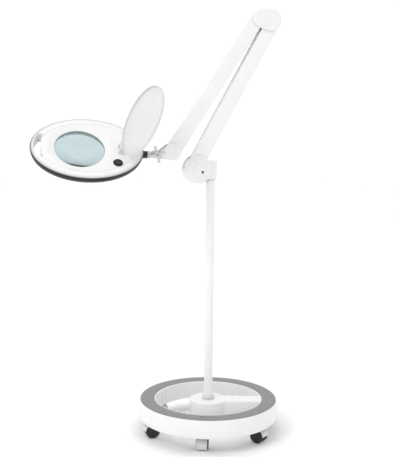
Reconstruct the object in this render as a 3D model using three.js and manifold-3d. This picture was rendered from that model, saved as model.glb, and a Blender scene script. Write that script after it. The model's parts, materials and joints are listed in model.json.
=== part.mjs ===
// Floor-standing magnifying lamp: a ring base on six casters, a pole, two parallel-linkage
// arms, and an oval head with a round lens and a hinged lens cover.
// Millimetres, +Z up. The pole stands at POLE_X, POLE_Y and the wheels touch the floor at z = 0.

import * as THREE from 'three';
import { mergeVertices } from 'three/addons/utils/BufferGeometryUtils.js';
import Module from 'manifold-3d';

const wasm = await Module();
wasm.setup();

// ---------------------------------------------------------------- driving dimensions

const GAP = 0.3;                    // clearance between pieces that touch
const POLE_X = 117.76;              // pole axis in the part's frame, whose origin is the
const POLE_Y = 22.793;              // middle of the box around the lamp, on the floor

const WHEEL_RADIUS = 16;            // to the flats of the tread
const WHEEL_SIDES = 16;
const WHEEL_WIDTH = 9;
const CASTER_COUNT = 6;
const CASTER_CIRCLE = 145;          // radius of the circle of caster stems
const CASTER_FIRST_ANGLE = -95;     // degrees from +X, seen from above
const CASTER_TRAIL = 6;             // axle behind the stem
const AXLE_RADIUS = 2.5;
const AXLE_HALF_LENGTH = 14.6;
const WHEEL_INSIDE = 5;             // each wheel's inner face, from the caster's middle plane
const CASTER_HEADINGS = [85, 325, 60, 120, 170, 200];  // where each axle lies from its stem
const HOOD_GAP = 1.4;               // tread to the hood's inner face
const HOOD_SHEET = 1.4;
const HOOD_WEB_HALF = 4.6;          // half thickness of the web between the wheels
const HOOD_HALF_WIDTH = 12.6;
const HOOD_START = -42;             // lower end of the hood at the stem's side, degrees
const HOOD_END = 175;               // its end behind the axle

const RING_OUTER = 175;
const RING_INNER = 131;
const RING_LOW = 37;
const RING_HIGH = 80;
const MAT_OUTER = 168.5;
const MAT_INNER = 134.3;
const MAT_THICK = 2.2;
const WALL = 3.2;
const HUB_RADIUS = 46;
const HUB_TOP = 78;
const SPOKE_HALF_WIDTH = 23.5;
const SPOKE_FILLET = 14;

const POLE_RADIUS = 10.5;
const POLE_BORE = 9;
const POLE_TOP = 624;
const POLE_BOLT = 5;                // radius of the bolt that holds the pole

const ARM_AZIMUTH = 17;             // plane of both arms, degrees from +X
const LOWER_ARM_ANGLE = 61;         // above the horizontal, pointing right and up
const UPPER_ARM_ANGLE = 237;        // pointing left and down from the elbow
const LOWER_ARM_LENGTH = 400;       // pivot to pivot
const UPPER_ARM_LENGTH = 385;
const SHOULDER = [-38, 653.3];      // main pivot of the lower arm: along the plane, height
const SHOULDER_COVER = [-33.8, 651.5];  // middle of the round covers over it
const SHOULDER_WALL = [178, 300];   // where the front cover's wall closes the joint, degrees
const BRACKET_TOP = 672;
const INLET = [2.5, 633];            // power socket at the back of the bracket
const ARM_HALF_WIDTH = 17;
const ARM_PIVOT_OFFSET = 5.5;       // pivot line from the channel's middle, towards its web
const CHANNEL_HALF_DEPTH = 13;
const CHANNEL_SHEET = 1.5;
const LEVER = 14;                   // main pivot to link pivot
const LOWER_LEVER_ANGLE = 181;      // direction of the lever at the shoulder and elbow
const UPPER_LEVER_ANGLE = 294;      // direction of the lever at the elbow and tip
const LINK_HALF_DEPTH = 10.9;
const LINK_HALF_WIDTH = 5;
const LINK_WEB = 9.5;               // outer face of the link's web, from its pins
const LINK_WEB_START = 15;          // web's distance from the pin at each end
const LINK_SHEET = 1.3;
const LINK_PIN = 2.4;
const BLOCK_HALF_DEPTH = 9;         // blocks that fill the arms' ends
const BOLT_RADIUS = 4;
const COVER_START = CHANNEL_HALF_DEPTH + 0.4;

const TILT_PIVOT = [-139, 686.3];   // clamp axis of the neck: along the plane, height
const NECK_PITCH = 0.4;             // neck rises towards the handle
const NECK_DROP = 1;                // roll axis under the clamp axis
const HEAD_ROLL = 44;               // top face turned towards the front
const NECK_RADIUS = 6;
const CLAMP_RADIUS = 3;             // bolt through the neck's eye

const HEAD_LENGTH = 262;
const HEAD_WIDTH = 196;
const HEAD_CENTRE = -18;            // middle of the oval from the lens centre
const LENS_FROM_TILT = 179.3;        // clamp axis to lens centre, along the neck
const ROLL_AXIS_DEPTH = 18;         // roll axis under the lens seat
const SLOT_NEAR = 88;                // handle slot's near edge, from the lens centre
const SLOT_HALF_ANGLE = 25;
const SLOT_MIDDLE = -4;
const PARTING = -1;                 // plane between the two head shells
const HEAD_UNDERSIDE = -27;
const LENS_OPENING = 58;
const LENS_RADIUS = 61.5;
const BARREL_RADIUS = 67.5;
const BARREL_LOW = -20.4;

const LID_RADIUS = 84;
const LID_HINGE = [-94, 16.3];      // hinge axis from the lens centre: outwards, height
const LID_TURN = -6;                // hinge's place round the lens, from the neck, degrees
const LID_PIN = 1.5;
const LID_OPEN = 114;               // opened from its closed place, degrees

const SWITCH_PLACE = [-81.6, 49.8];
const SWITCH_RADIUS = 10;

const RING_SIDES = 44;              // facets of the base's large rings
const HEAD_SIDES = 36;              // facets of the head's oval and of the lens
const LARGE_SIDES = 24;             // facets of covers, post and collars
const SMALL_SIDES = 10;             // facets of pins, bolts and bores

// ---------------------------------------------------------------- materials

function finish(colour, roughness, metalness = 0) {
  return new THREE.MeshStandardMaterial({ color: colour, roughness, metalness });
}

const WHITE_PLASTIC = finish(0xf0f0ee, 0.4);
const WHITE_PAINT = finish(0xf2f2f0, 0.35, 0.1);
const GREY_MAT = finish(0x979797, 0.9);
const BLACK_PLASTIC = finish(0x1c1c1e, 0.5);
const DARK_PLASTIC = finish(0x3c3d40, 0.45);
const LIGHT_GREY = finish(0xd8d9da, 0.45);
const STEEL = finish(0xb8babd, 0.35, 0.9);
const CAST_IRON = finish(0x4a4a4c, 0.7, 0.6);
const CLEAR_GLASS = finish(0xc4dcdc, 0.05);
const BOARD_WHITE = finish(0xe8ece8, 0.6);
const DIFFUSER = finish(0xf4f6f2, 0.6);

// ---------------------------------------------------------------- geometry helpers

const radians = THREE.MathUtils.degToRad;

/** A closed geometry as a manifold solid with its faces pointing out. */
function toSolid(geometry) {
  const bare = geometry.clone();
  bare.deleteAttribute('normal');
  bare.deleteAttribute('uv');
  const merged = mergeVertices(bare, 1e-4);
  const corners = merged.index.array;
  const triangles = [];
  for (let i = 0; i < corners.length; i += 3) {
    const [a, b, c] = [corners[i], corners[i + 1], corners[i + 2]];
    if (a !== b && b !== c && c !== a) triangles.push(a, b, c);
  }
  const places = new Float32Array(merged.attributes.position.array);
  if (signedVolume(places, triangles) < 0) triangles.reverse();
  return new wasm.Manifold(new wasm.Mesh({
    numProp: 3,
    vertProperties: places,
    triVerts: new Uint32Array(triangles),
  }));
}

function signedVolume(places, triangles) {
  const [a, b, c] = [new THREE.Vector3(), new THREE.Vector3(), new THREE.Vector3()];
  let sum = 0;
  for (let i = 0; i < triangles.length; i += 3) {
    a.fromArray(places, 3 * triangles[i]);
    b.fromArray(places, 3 * triangles[i + 1]);
    c.fromArray(places, 3 * triangles[i + 2]);
    sum += a.dot(b.cross(c));
  }
  return sum;
}

function toGeometry(solid) {
  const mesh = solid.getMesh();
  const geometry = new THREE.BufferGeometry();
  geometry.setAttribute('position', new THREE.BufferAttribute(mesh.vertProperties, 3));
  geometry.setIndex(new THREE.BufferAttribute(mesh.triVerts, 1));
  geometry.computeVertexNormals();
  return geometry;
}

function join(first, ...others) {
  return others.reduce((sum, other) => sum.add(other), first);
}

function cut(first, ...others) {
  return others.reduce((rest, other) => rest.subtract(other), first);
}

/** A named mesh, added to a group. */
function piece(group, name, material, solid) {
  const mesh = new THREE.Mesh(toGeometry(solid), material);
  mesh.name = name;
  group.add(mesh);
  return mesh;
}

function block(x0, x1, y0, y1, z0, z1) {
  const geometry = new THREE.BoxGeometry(x1 - x0, y1 - y0, z1 - z0);
  geometry.translate((x0 + x1) / 2, (y0 + y1) / 2, (z0 + z1) / 2);
  return toSolid(geometry);
}

/** A round bar between two points. */
function rod(radius, from, to, sides = SMALL_SIDES) {
  const start = new THREE.Vector3(...from);
  const end = new THREE.Vector3(...to);
  const along = end.clone().sub(start);
  const geometry = new THREE.CylinderGeometry(radius, radius, along.length(), sides);
  const turn = new THREE.Quaternion().setFromUnitVectors(
    new THREE.Vector3(0, 1, 0), along.clone().normalize());
  geometry.applyQuaternion(turn);
  geometry.translate(...start.add(end).multiplyScalar(0.5).toArray());
  return toSolid(geometry);
}

/** A profile of [radius, height] points turned about the Z axis. */
function turned(profile, sides = LARGE_SIDES) {
  const points = profile.map(([radius, height]) => new THREE.Vector2(radius, height));
  return toSolid(new THREE.LatheGeometry(points, sides).rotateX(Math.PI / 2));
}

/** A closed profile turned about the Z axis, back to its first point. */
function turnedRing(profile, sides = LARGE_SIDES) {
  return turned([...profile, profile[0]], sides);
}

/** Turns a solid that stands on Z so that its Z axis lies along -Y, and moves it. */
function faceFront(solid, x, z) {
  return solid.rotate([90, 0, 0]).translate([x, 0, z]);
}

/** The same, with its Z axis along +Y. */
function faceBack(solid, x, z) {
  return solid.rotate([-90, 0, 0]).translate([x, 0, z]);
}

/** A flat outline in X and Y, from z0 to z1. */
function slab(shape, z0, z1, curveSegments = 8) {
  const geometry = new THREE.ExtrudeGeometry(shape, {
    depth: z1 - z0, bevelEnabled: false, curveSegments,
  });
  return toSolid(geometry.translate(0, 0, z0));
}

/** An outline in X and Z, from y0 to y1. */
function upright(shape, y0, y1, curveSegments = 8) {
  const geometry = new THREE.ExtrudeGeometry(shape, {
    depth: y1 - y0, bevelEnabled: false, curveSegments,
  });
  geometry.translate(0, 0, -y1).rotateX(Math.PI / 2);
  return toSolid(geometry);
}

/** The outline of two circles with the straight lines that touch both. */
function pairOutline([x1, y1], r1, [x2, y2], r2) {
  const distance = Math.hypot(x2 - x1, y2 - y1);
  const towards = Math.atan2(y2 - y1, x2 - x1);
  const lean = Math.acos((r1 - r2) / distance);
  const shape = new THREE.Shape();
  shape.absarc(x1, y1, r1, towards + lean, towards - lean + 2 * Math.PI, false);
  shape.absarc(x2, y2, r2, towards - lean, towards + lean, false);
  shape.closePath();
  return shape;
}

/** A solid through rings of equally many points, closed with a flat cap at each end. */
function loft(rings) {
  const count = rings[0].length;
  const places = rings.flat().flatMap((point) => point.toArray());
  const caps = [rings[0], rings[rings.length - 1]].map((ring) => {
    const middle = new THREE.Vector3();
    ring.forEach((point) => middle.add(point));
    return middle.divideScalar(count);
  });
  caps.forEach((middle) => places.push(...middle.toArray()));
  const index = [];
  for (let row = 0; row + 1 < rings.length; row += 1) {
    for (let i = 0; i < count; i += 1) {
      const a = row * count + i;
      const b = row * count + ((i + 1) % count);
      index.push(a, b, b + count, a, b + count, a + count);
    }
  }
  const lowCap = rings.length * count;
  const lastRow = (rings.length - 1) * count;
  for (let i = 0; i < count; i += 1) {
    const next = (i + 1) % count;
    index.push(lowCap, next, i, lowCap + 1, lastRow + i, lastRow + next);
  }
  const geometry = new THREE.BufferGeometry();
  geometry.setAttribute('position', new THREE.Float32BufferAttribute(places, 3));
  geometry.setIndex(index);
  return toSolid(geometry);
}

function polar(radius, degrees) {
  return [radius * Math.cos(radians(degrees)), radius * Math.sin(radians(degrees))];
}

function plus([a, b], [c, d]) {
  return [a + c, b + d];
}

// ---------------------------------------------------------------- base

/** The hub disc, one spoke along +X and the fillets between them. */
function hubOutline(radius, halfWidth, fillet, reach) {
  const offset = halfWidth + fillet;
  const centreX = Math.sqrt((radius + fillet) ** 2 - offset ** 2);
  const turn = Math.atan2(offset, centreX);
  const shape = new THREE.Shape();
  shape.moveTo(reach, -halfWidth);
  shape.lineTo(reach, halfWidth);
  shape.lineTo(centreX, halfWidth);
  shape.absarc(centreX, offset, fillet, -Math.PI / 2, turn - Math.PI, true);
  shape.absarc(0, 0, radius, turn, 2 * Math.PI - turn, false);
  shape.absarc(centreX, -offset, fillet, Math.PI - turn, Math.PI / 2, true);
  shape.closePath();
  return shape;
}

/** The ring's section as [radius, height] points: walls and roof, with a seat for the mat. */
function ringSection() {
  const seat = RING_HIGH - MAT_THICK;
  return [
    [RING_INNER, RING_LOW], [RING_INNER + WALL, RING_LOW], [RING_INNER + WALL, ROOF_UNDERSIDE],
    [RING_OUTER - 4.6 - WALL, ROOF_UNDERSIDE], [RING_OUTER - WALL, RING_LOW + 18],
    [RING_OUTER - 3 - WALL, RING_LOW], [RING_OUTER - 3, RING_LOW], [RING_OUTER, RING_LOW + 18],
    [RING_OUTER - 1, RING_HIGH - 11], [RING_OUTER - 4.6, RING_HIGH],
    [MAT_OUTER + GAP, RING_HIGH], [MAT_OUTER + GAP, seat], [MAT_INNER - GAP, seat],
    [MAT_INNER - GAP, RING_HIGH], [RING_INNER, RING_HIGH - 1],
  ];
}

function casterPlace(index) {
  return polar(CASTER_CIRCLE, CASTER_FIRST_ANGLE + (index * 360) / CASTER_COUNT);
}

const STEM_RADIUS = 4;
const STEM_TOP = 60;
const SOCKET_RADIUS = 9;
const HUB_PLATE_LOW = 70.4;
const ROOF_UNDERSIDE = RING_HIGH - MAT_THICK - WALL;

function addBase(group) {
  const ring = turnedRing(ringSection(), RING_SIDES);
  const spoke = slab(
    hubOutline(HUB_RADIUS, SPOKE_HALF_WIDTH, SPOKE_FILLET, RING_INNER + 1), RING_LOW, HUB_TOP);
  const spokeHollow = slab(
    hubOutline(HUB_RADIUS - WALL, SPOKE_HALF_WIDTH - WALL, SPOKE_FILLET + WALL, RING_INNER - 2),
    RING_LOW - 1, HUB_TOP - WALL);
  const sockets = [];
  const bores = [];
  for (let i = 0; i < CASTER_COUNT; i += 1) {
    const [x, y] = casterPlace(i);
    sockets.push(rod(SOCKET_RADIUS, [x, y, RING_LOW], [x, y, ROOF_UNDERSIDE + 1]));
    bores.push(rod(STEM_RADIUS + GAP, [x, y, RING_LOW - 1], [x, y, STEM_TOP + 2]));
  }
  const boltHole = rod(POLE_BOLT + GAP, [0, 0, RING_LOW], [0, 0, RING_HIGH]);
  const shell = cut(join(ring, cut(spoke, spokeHollow)), boltHole);
  piece(group, 'base_housing', WHITE_PLASTIC, cut(join(shell, ...sockets), ...bores));

  const seam = block(-0.5, 0.5, -RING_OUTER, -RING_INNER, RING_LOW, RING_HIGH + 5)
    .rotate([0, 0, CASTER_FIRST_ANGLE + 90]);
  const mat = turnedRing([
    [MAT_INNER, RING_HIGH - MAT_THICK + GAP], [MAT_OUTER, RING_HIGH - MAT_THICK + GAP],
    [MAT_OUTER, RING_HIGH + 0.6], [MAT_INNER, RING_HIGH + 0.6],
  ], RING_SIDES);
  piece(group, 'base_mat', GREY_MAT, cut(mat, seam));

  const ballast = turnedRing([
    [138, 46], [166, 46], [166, ROOF_UNDERSIDE - GAP], [138, ROOF_UNDERSIDE - GAP],
  ], RING_SIDES);
  const clearance = sockets.map((_, i) => {
    const [x, y] = casterPlace(i);
    return rod(SOCKET_RADIUS + 0.8, [x, y, 40], [x, y, 76]);
  });
  piece(group, 'base_ballast', CAST_IRON, cut(ballast, ...clearance));

  const plate = slab(
    hubOutline(40, 17, SPOKE_FILLET, RING_INNER - 4), HUB_PLATE_LOW, HUB_TOP - WALL - GAP, 5);
  piece(group, 'hub_plate', STEEL, cut(plate, rod(POLE_BOLT + GAP, [0, 0, 60], [0, 0, 90])));

  const hexHead = rod(8, [0, 0, HUB_PLATE_LOW - 7], [0, 0, HUB_PLATE_LOW - GAP], 6);
  const shank = rod(POLE_BOLT, [0, 0, HUB_PLATE_LOW - 1], [0, 0, HUB_TOP + 14]);
  piece(group, 'pole_bolt', STEEL, join(hexHead, shank));

  piece(group, 'pole', WHITE_PAINT, turnedRing([
    [POLE_BOLT + GAP, HUB_TOP + GAP], [POLE_RADIUS, HUB_TOP + GAP], [POLE_RADIUS, POLE_TOP],
    [POLE_BORE, POLE_TOP], [POLE_BORE, HUB_TOP + 16], [POLE_BOLT + GAP, HUB_TOP + 16],
  ], LARGE_SIDES));
  piece(group, 'pole_collar', LIGHT_GREY, turnedRing([
    [POLE_RADIUS + GAP, HUB_TOP + GAP], [15, HUB_TOP + GAP], [15, HUB_TOP + 5],
    [13.5, HUB_TOP + 7.5], [POLE_RADIUS + GAP, HUB_TOP + 7.5],
  ]));
  piece(group, 'pole_bush', DARK_PLASTIC, turnedRing([
    [SPIGOT_RADIUS + GAP, POLE_TOP - 40], [POLE_BORE - GAP, POLE_TOP - 40],
    [POLE_BORE - GAP, POLE_TOP + GAP], [POLE_RADIUS + 0.4, POLE_TOP + GAP],
    [POLE_RADIUS + 0.4, POLE_TOP + 2.2], [SPIGOT_RADIUS + GAP, POLE_TOP + 2.2],
  ]));
}

const SPIGOT_RADIUS = 7;

/** One twin-wheel caster, its stem on the group's Z axis and its axle behind it on -X. */
function addCaster(group, name) {
  const axleHeight = WHEEL_RADIUS;
  const inner = WHEEL_RADIUS + HOOD_GAP;
  const outer = inner + HOOD_SHEET;
  const [start, end] = [radians(HOOD_START), radians(HOOD_END)];
  const fender = new THREE.Shape();
  fender.absarc(-CASTER_TRAIL, axleHeight, outer, start, end, false);
  fender.absarc(-CASTER_TRAIL, axleHeight, inner, end, start, true);
  fender.closePath();
  const web = new THREE.Shape();
  web.absarc(-CASTER_TRAIL, axleHeight, (inner + outer) / 2, start, end, false);
  web.lineTo(-CASTER_TRAIL - 5, axleHeight - 4);
  web.lineTo(-CASTER_TRAIL + 3, axleHeight - 6);
  web.closePath();
  const hood = join(
    upright(fender, -HOOD_HALF_WIDTH, HOOD_HALF_WIDTH, 7),
    upright(web, -HOOD_WEB_HALF, HOOD_WEB_HALF, 7),
    rod(6.5, [0, 0, 32.6], [0, 0, RING_LOW - 0.6]),
    rod(STEM_RADIUS, [0, 0, 28], [0, 0, STEM_TOP], 10),
    rod(AXLE_RADIUS, [-CASTER_TRAIL, -AXLE_HALF_LENGTH, axleHeight],
      [-CASTER_TRAIL, AXLE_HALF_LENGTH, axleHeight], 8),
  );
  piece(group, `${name}_hood`, LIGHT_GREY, hood);

  const tread = WHEEL_RADIUS / Math.cos(Math.PI / WHEEL_SIDES);
  const bore = AXLE_RADIUS + GAP;
  const wheel = turnedRing([
    [bore, 0], [tread, 0], [tread, WHEEL_WIDTH], [bore, WHEEL_WIDTH - 1.6],
  ], WHEEL_SIDES).rotate([0, 0, 180 / WHEEL_SIDES]);
  const sides = { left: faceFront(wheel, 0, 0), right: faceBack(wheel, 0, 0) };
  const shifts = { left: -WHEEL_INSIDE, right: WHEEL_INSIDE };
  Object.entries(sides).forEach(([side, solid]) => {
    const placed = solid.translate([-CASTER_TRAIL, shifts[side], axleHeight]);
    piece(group, `${name}_wheel_${side}`, BLACK_PLASTIC, placed);
  });
}

// ---------------------------------------------------------------- arms

const LOWER_LEVER = polar(LEVER, LOWER_LEVER_ANGLE);
const UPPER_LEVER = polar(LEVER, UPPER_LEVER_ANGLE);
const LOWER_RUN = polar(LOWER_ARM_LENGTH, LOWER_ARM_ANGLE);
const UPPER_RUN = polar(UPPER_ARM_LENGTH, UPPER_ARM_ANGLE);
const ELBOW_LOWER = plus(SHOULDER, LOWER_RUN);
const TIP = [-100.6, 696.1];
const ELBOW_UPPER = [TIP[0] - UPPER_RUN[0], TIP[1] - UPPER_RUN[1]];

/** The outer U-channel of an arm: X along it, its web on -Z and its open side on +Z. */
function armChannel(length, webStart, webEnd) {
  const middle = ARM_PIVOT_OFFSET;
  const cheek = pairOutline([0, middle], ARM_HALF_WIDTH, [length, middle], ARM_HALF_WIDTH);
  const inside = CHANNEL_HALF_DEPTH - CHANNEL_SHEET;
  const webZ = middle - ARM_HALF_WIDTH;
  const channel = join(
    upright(cheek, -CHANNEL_HALF_DEPTH, -inside),
    upright(cheek, inside, CHANNEL_HALF_DEPTH),
    block(webStart, webEnd, -CHANNEL_HALF_DEPTH, CHANNEL_HALF_DEPTH, webZ, webZ + CHANNEL_SHEET),
  );
  const bores = [0, length].map((x) => rod(BOLT_RADIUS + GAP, [x, -20, 0], [x, 20, 0]));
  return cut(channel, ...bores);
}

/** The inner link of an arm: a shallow U-channel with a riveted pin at each end. */
function armLink(length) {
  const cheek = pairOutline([0, 0], LINK_HALF_WIDTH, [length, 0], LINK_HALF_WIDTH);
  const inside = LINK_HALF_DEPTH - LINK_SHEET;
  const [start, end] = [LINK_WEB_START, length - LINK_WEB_START];
  return join(
    upright(cheek, -LINK_HALF_DEPTH, -inside, 5),
    upright(cheek, inside, LINK_HALF_DEPTH, 5),
    block(start, end, -LINK_HALF_DEPTH, -inside, 0, LINK_WEB),
    block(start, end, inside, LINK_HALF_DEPTH, 0, LINK_WEB),
    block(start, end, -LINK_HALF_DEPTH, LINK_HALF_DEPTH, LINK_WEB - LINK_SHEET, LINK_WEB),
    rod(LINK_PIN, [0, -LINK_HALF_DEPTH, 0], [0, LINK_HALF_DEPTH, 0], 10),
    rod(LINK_PIN, [length, -LINK_HALF_DEPTH, 0], [length, LINK_HALF_DEPTH, 0], 10),
  );
}

/** A tension spring along X, as an open coil of square wire. */
function coilSpring(start, end, z) {
  const coilRadius = 5.2;
  const turns = 9;
  const steps = turns * 5;
  const points = Array.from({ length: steps + 1 }, (_, i) => {
    const turn = (2 * Math.PI * turns * i) / steps;
    return new THREE.Vector3(
      start + ((end - start) * i) / steps, coilRadius * Math.cos(turn), z + coilRadius * Math.sin(turn));
  });
  const corners = [[-0.8, -0.8], [0.8, -0.8], [0.8, 0.8], [-0.8, 0.8]];
  const wire = new THREE.Shape(corners.map(([x, y]) => new THREE.Vector2(x, y)));
  return toSolid(new THREE.ExtrudeGeometry(wire, {
    extrudePath: new THREE.CatmullRomCurve3(points), steps, bevelEnabled: false,
  }));
}

/** A bolt through an arm's end, with a flat head at each side under the covers. */
function pivotBolt([x, z]) {
  return join(
    rod(BOLT_RADIUS, [x, -CHANNEL_HALF_DEPTH - 1, z], [x, CHANNEL_HALF_DEPTH + 1, z]),
    rod(6, [x, -CHANNEL_HALF_DEPTH - 3, z], [x, -CHANNEL_HALF_DEPTH - GAP, z], 6),
    rod(6, [x, CHANNEL_HALF_DEPTH + GAP, z], [x, CHANNEL_HALF_DEPTH + 3, z], 6),
  );
}

/** A solid filling between the cheeks, around the pivots, with bores for bolt and link pin. */
function jointBlock(outlines, bolts, pins) {
  const solid = join(...outlines.map((outline) => (
    upright(outline, -BLOCK_HALF_DEPTH, BLOCK_HALF_DEPTH, 4))));
  const bores = [
    ...bolts.map(([x, z]) => rod(BOLT_RADIUS + GAP, [x, -20, z], [x, 20, z])),
    ...pins.map(([x, z]) => rod(LINK_PIN + GAP, [x, -20, z], [x, 20, z], 10)),
  ];
  return cut(solid, ...bores);
}

/** A cover shell at one side of a joint: a bevelled lid over an outline, open towards the arm. */
function jointCover(first, r1, second, r2, side) {
  const layers = [[0, COVER_START, 17.6], [1.8, 17.5, 19.6]];
  const bodies = layers.map(([inset, from, to]) => (
    upright(pairOutline(first, r1 - inset, second, r2 - inset), from, to, 7)));
  const pocket = upright(pairOutline(first, r1 - 3.4, second, r2 - 3.4), COVER_START - 1, 17.2, 7);
  const cover = cut(join(...bodies), pocket);
  return side < 0 ? cover.mirror([0, 1, 0]) : cover;
}

/** A curved wall round Z between two angles, from low to high. */
function wallSector([start, end], inner, outer, low, high) {
  const outline = new THREE.Shape();
  outline.absarc(0, 0, outer, radians(start), radians(end), false);
  outline.absarc(0, 0, inner, radians(end), radians(start), true);
  outline.closePath();
  return slab(outline, low, high, 12);
}

function addShoulder(group) {
  const linkPivot = plus(SHOULDER, LOWER_LEVER);
  const lug = jointBlock(
    [
      pairOutline(SHOULDER, 9, linkPivot, 6.2),
      pairOutline(SHOULDER, 9, [-4, SHOULDER[1]], 11),
    ],
    [SHOULDER],
    [linkPivot],
  );
  const besideArm = block(-10, 80, -20, 20, -12.6, 40)
    .rotate([0, -LOWER_ARM_ANGLE, 0]).translate([SHOULDER[0], 0, SHOULDER[1]]);
  const post = rod(15.5, [0, 0, POLE_TOP + 2.6], [0, 0, BRACKET_TOP], LARGE_SIDES)
    .intersect(block(-20, 20, -12.6, 12.6, POLE_TOP, BRACKET_TOP + 5));
  const spigot = rod(SPIGOT_RADIUS, [0, 0, POLE_TOP - 36], [0, 0, POLE_TOP + 5]);
  const inletHole = rod(4.3, [INLET[0], 4, INLET[1]], [INLET[0], 20, INLET[1]]);
  const bracket = join(cut(post, besideArm), spigot, lug);
  piece(group, 'swivel_bracket', WHITE_PAINT, cut(bracket, inletHole));

  const dome = turned([
    [0, 22.8], [20.5, 22.8], [31.8, 17], [31.8, COVER_START],
    [34.3, COVER_START], [34.3, 16.4], [21.5, 25.2], [14, 25.2], [13.4, 27.4],
    [0, 29],
  ]);
  const screwHole = rod(4.2, [8, -7, 22], [8, -7, 32], 8);
  const lip = wallSector(SHOULDER_WALL, 32.6, 34.3, -COVER_START + GAP, COVER_START + 1);
  piece(group, 'shoulder_cover_front', WHITE_PLASTIC,
    faceFront(join(cut(dome, screwHole), lip), ...SHOULDER_COVER));
  piece(group, 'shoulder_cover_back', WHITE_PLASTIC, faceBack(dome, ...SHOULDER_COVER));
  piece(group, 'shoulder_bolt', STEEL, pivotBolt(SHOULDER));

  const inlet = turned([
    [0, 0], [4, 0], [4, 8.9], [5.6, 8.9], [5.6, 13], [2.9, 13], [2.9, 4], [0, 4],
  ], 16);
  piece(group, 'power_inlet', BLACK_PLASTIC,
    faceBack(inlet, ...INLET).translate([0, 4.3, 0]));
}

function armFrame(group, [x, z], degrees) {
  const frame = new THREE.Group();
  frame.position.set(x, 0, z);
  frame.rotation.y = -radians(degrees);
  group.add(frame);
  return frame;
}

function addArms(group) {
  const lower = armFrame(group, SHOULDER, LOWER_ARM_ANGLE);
  const webEnd = LOWER_ARM_LENGTH + 8;
  piece(lower, 'lower_arm_channel', WHITE_PAINT, armChannel(LOWER_ARM_LENGTH, 19, webEnd));
  piece(lower, 'lower_arm_spring', STEEL, coilSpring(24, 190, -2));
  const lowerLink = armFrame(group, plus(SHOULDER, LOWER_LEVER), LOWER_ARM_ANGLE);
  piece(lowerLink, 'lower_arm_link', DARK_PLASTIC, armLink(LOWER_ARM_LENGTH));

  const upper = armFrame(group, ELBOW_UPPER, UPPER_ARM_ANGLE);
  const upperEnd = UPPER_ARM_LENGTH - 5;
  piece(upper, 'upper_arm_channel', WHITE_PAINT, armChannel(UPPER_ARM_LENGTH, -8, upperEnd));
  piece(upper, 'upper_arm_spring', STEEL, coilSpring(24, 190, -2));
  const upperLink = armFrame(group, plus(ELBOW_UPPER, UPPER_LEVER), UPPER_ARM_ANGLE);
  piece(upperLink, 'upper_arm_link', DARK_PLASTIC, armLink(UPPER_ARM_LENGTH));
}

function addElbow(group) {
  const lowerLink = plus(ELBOW_LOWER, LOWER_LEVER);
  const upperLink = plus(ELBOW_UPPER, UPPER_LEVER);
  piece(group, 'elbow_block', WHITE_PAINT, jointBlock(
    [
      pairOutline(ELBOW_LOWER, 8.5, lowerLink, 6.2),
      pairOutline(ELBOW_UPPER, 8.5, upperLink, 6.2),
      pairOutline(ELBOW_LOWER, 8.5, ELBOW_UPPER, 8.5),
      pairOutline(lowerLink, 6.2, upperLink, 6.2),
    ],
    [ELBOW_LOWER, ELBOW_UPPER],
    [lowerLink, upperLink],
  ));
  const caps = [[120.5, 1013], 22.5, [143.5, 1009.5], 26.5];
  piece(group, 'elbow_cover_front', WHITE_PLASTIC, jointCover(...caps, -1));
  piece(group, 'elbow_cover_back', WHITE_PLASTIC, jointCover(...caps, 1));
  piece(group, 'elbow_lower_bolt', STEEL, pivotBolt(ELBOW_LOWER));
  piece(group, 'elbow_upper_bolt', STEEL, pivotBolt(ELBOW_UPPER));
}

const FORK_START = [-119, 689];
const FORK_SLOT = 6.3;
const FORK_DEPTH = 10;

function addTip(group) {
  const linkPivot = plus(TIP, UPPER_LEVER);
  const body = jointBlock(
    [pairOutline(TIP, 9, linkPivot, 6), pairOutline(TIP, 9, FORK_START, 8.5)],
    [TIP],
    [linkPivot],
  );
  const fork = upright(pairOutline(FORK_START, 8, TILT_PIVOT, 9), -FORK_DEPTH, FORK_DEPTH);
  const slot = block(TILT_PIVOT[0] - 12, TILT_PIVOT[0] + 10.5, -FORK_SLOT, FORK_SLOT, 660, 710);
  const [x, z] = TILT_PIVOT;
  const bore = rod(CLAMP_RADIUS + GAP, [x, -20, z], [x, 20, z]);
  piece(group, 'tip_fork', LIGHT_GREY, cut(join(body, cut(fork, slot)), bore));

  const outline = [[-99, 692.5], 20.2, [-117, 687], 13];
  piece(group, 'tip_cover_front', WHITE_PLASTIC, jointCover(...outline, -1));
  piece(group, 'tip_cover_back', WHITE_PLASTIC, jointCover(...outline, 1));
  piece(group, 'tip_bolt', STEEL, pivotBolt(TIP));

  const clampBolt = join(
    rod(CLAMP_RADIUS, [x, -27, z], [x, 12, z]),
    rod(6.5, [x, FORK_DEPTH + GAP, z], [x, 15, z], 6),
  );
  piece(group, 'clamp_bolt', STEEL, clampBolt);

  const knobBore = CLAMP_RADIUS + GAP;
  const hub = turnedRing([
    [knobBore, 0], [8, 0], [6.4, 6], [6.4, 19.5], [5, 20.5], [knobBore, 20.5],
  ], 14).translate([0, 0, FORK_DEPTH + 0.6]);
  const arms = [0, 90].map((turn) => (
    rod(3.4, [-20, 0, 26.5], [20, 0, 26.5], 8).rotate([0, 0, turn + 15])));
  const bolt = rod(knobBore, [0, 0, 0], [0, 0, 27.3]);
  const knob = cut(join(hub, ...arms), bolt);
  piece(group, 'clamp_knob', LIGHT_GREY, faceFront(knob, x, z));
}

// ---------------------------------------------------------------- head

const HALF_LENGTH = HEAD_LENGTH / 2;
const HALF_WIDTH = HEAD_WIDTH / 2;

/** The head's oval, moved in by inset, at a height. */
function ovalRing(inset, z) {
  return Array.from({ length: HEAD_SIDES }, (_, i) => {
    const turn = (2 * Math.PI * i) / HEAD_SIDES;
    const x = HEAD_CENTRE + (HALF_LENGTH - inset) * Math.cos(turn);
    return new THREE.Vector3(x, (HALF_WIDTH - inset) * Math.sin(turn), z);
  });
}

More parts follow.
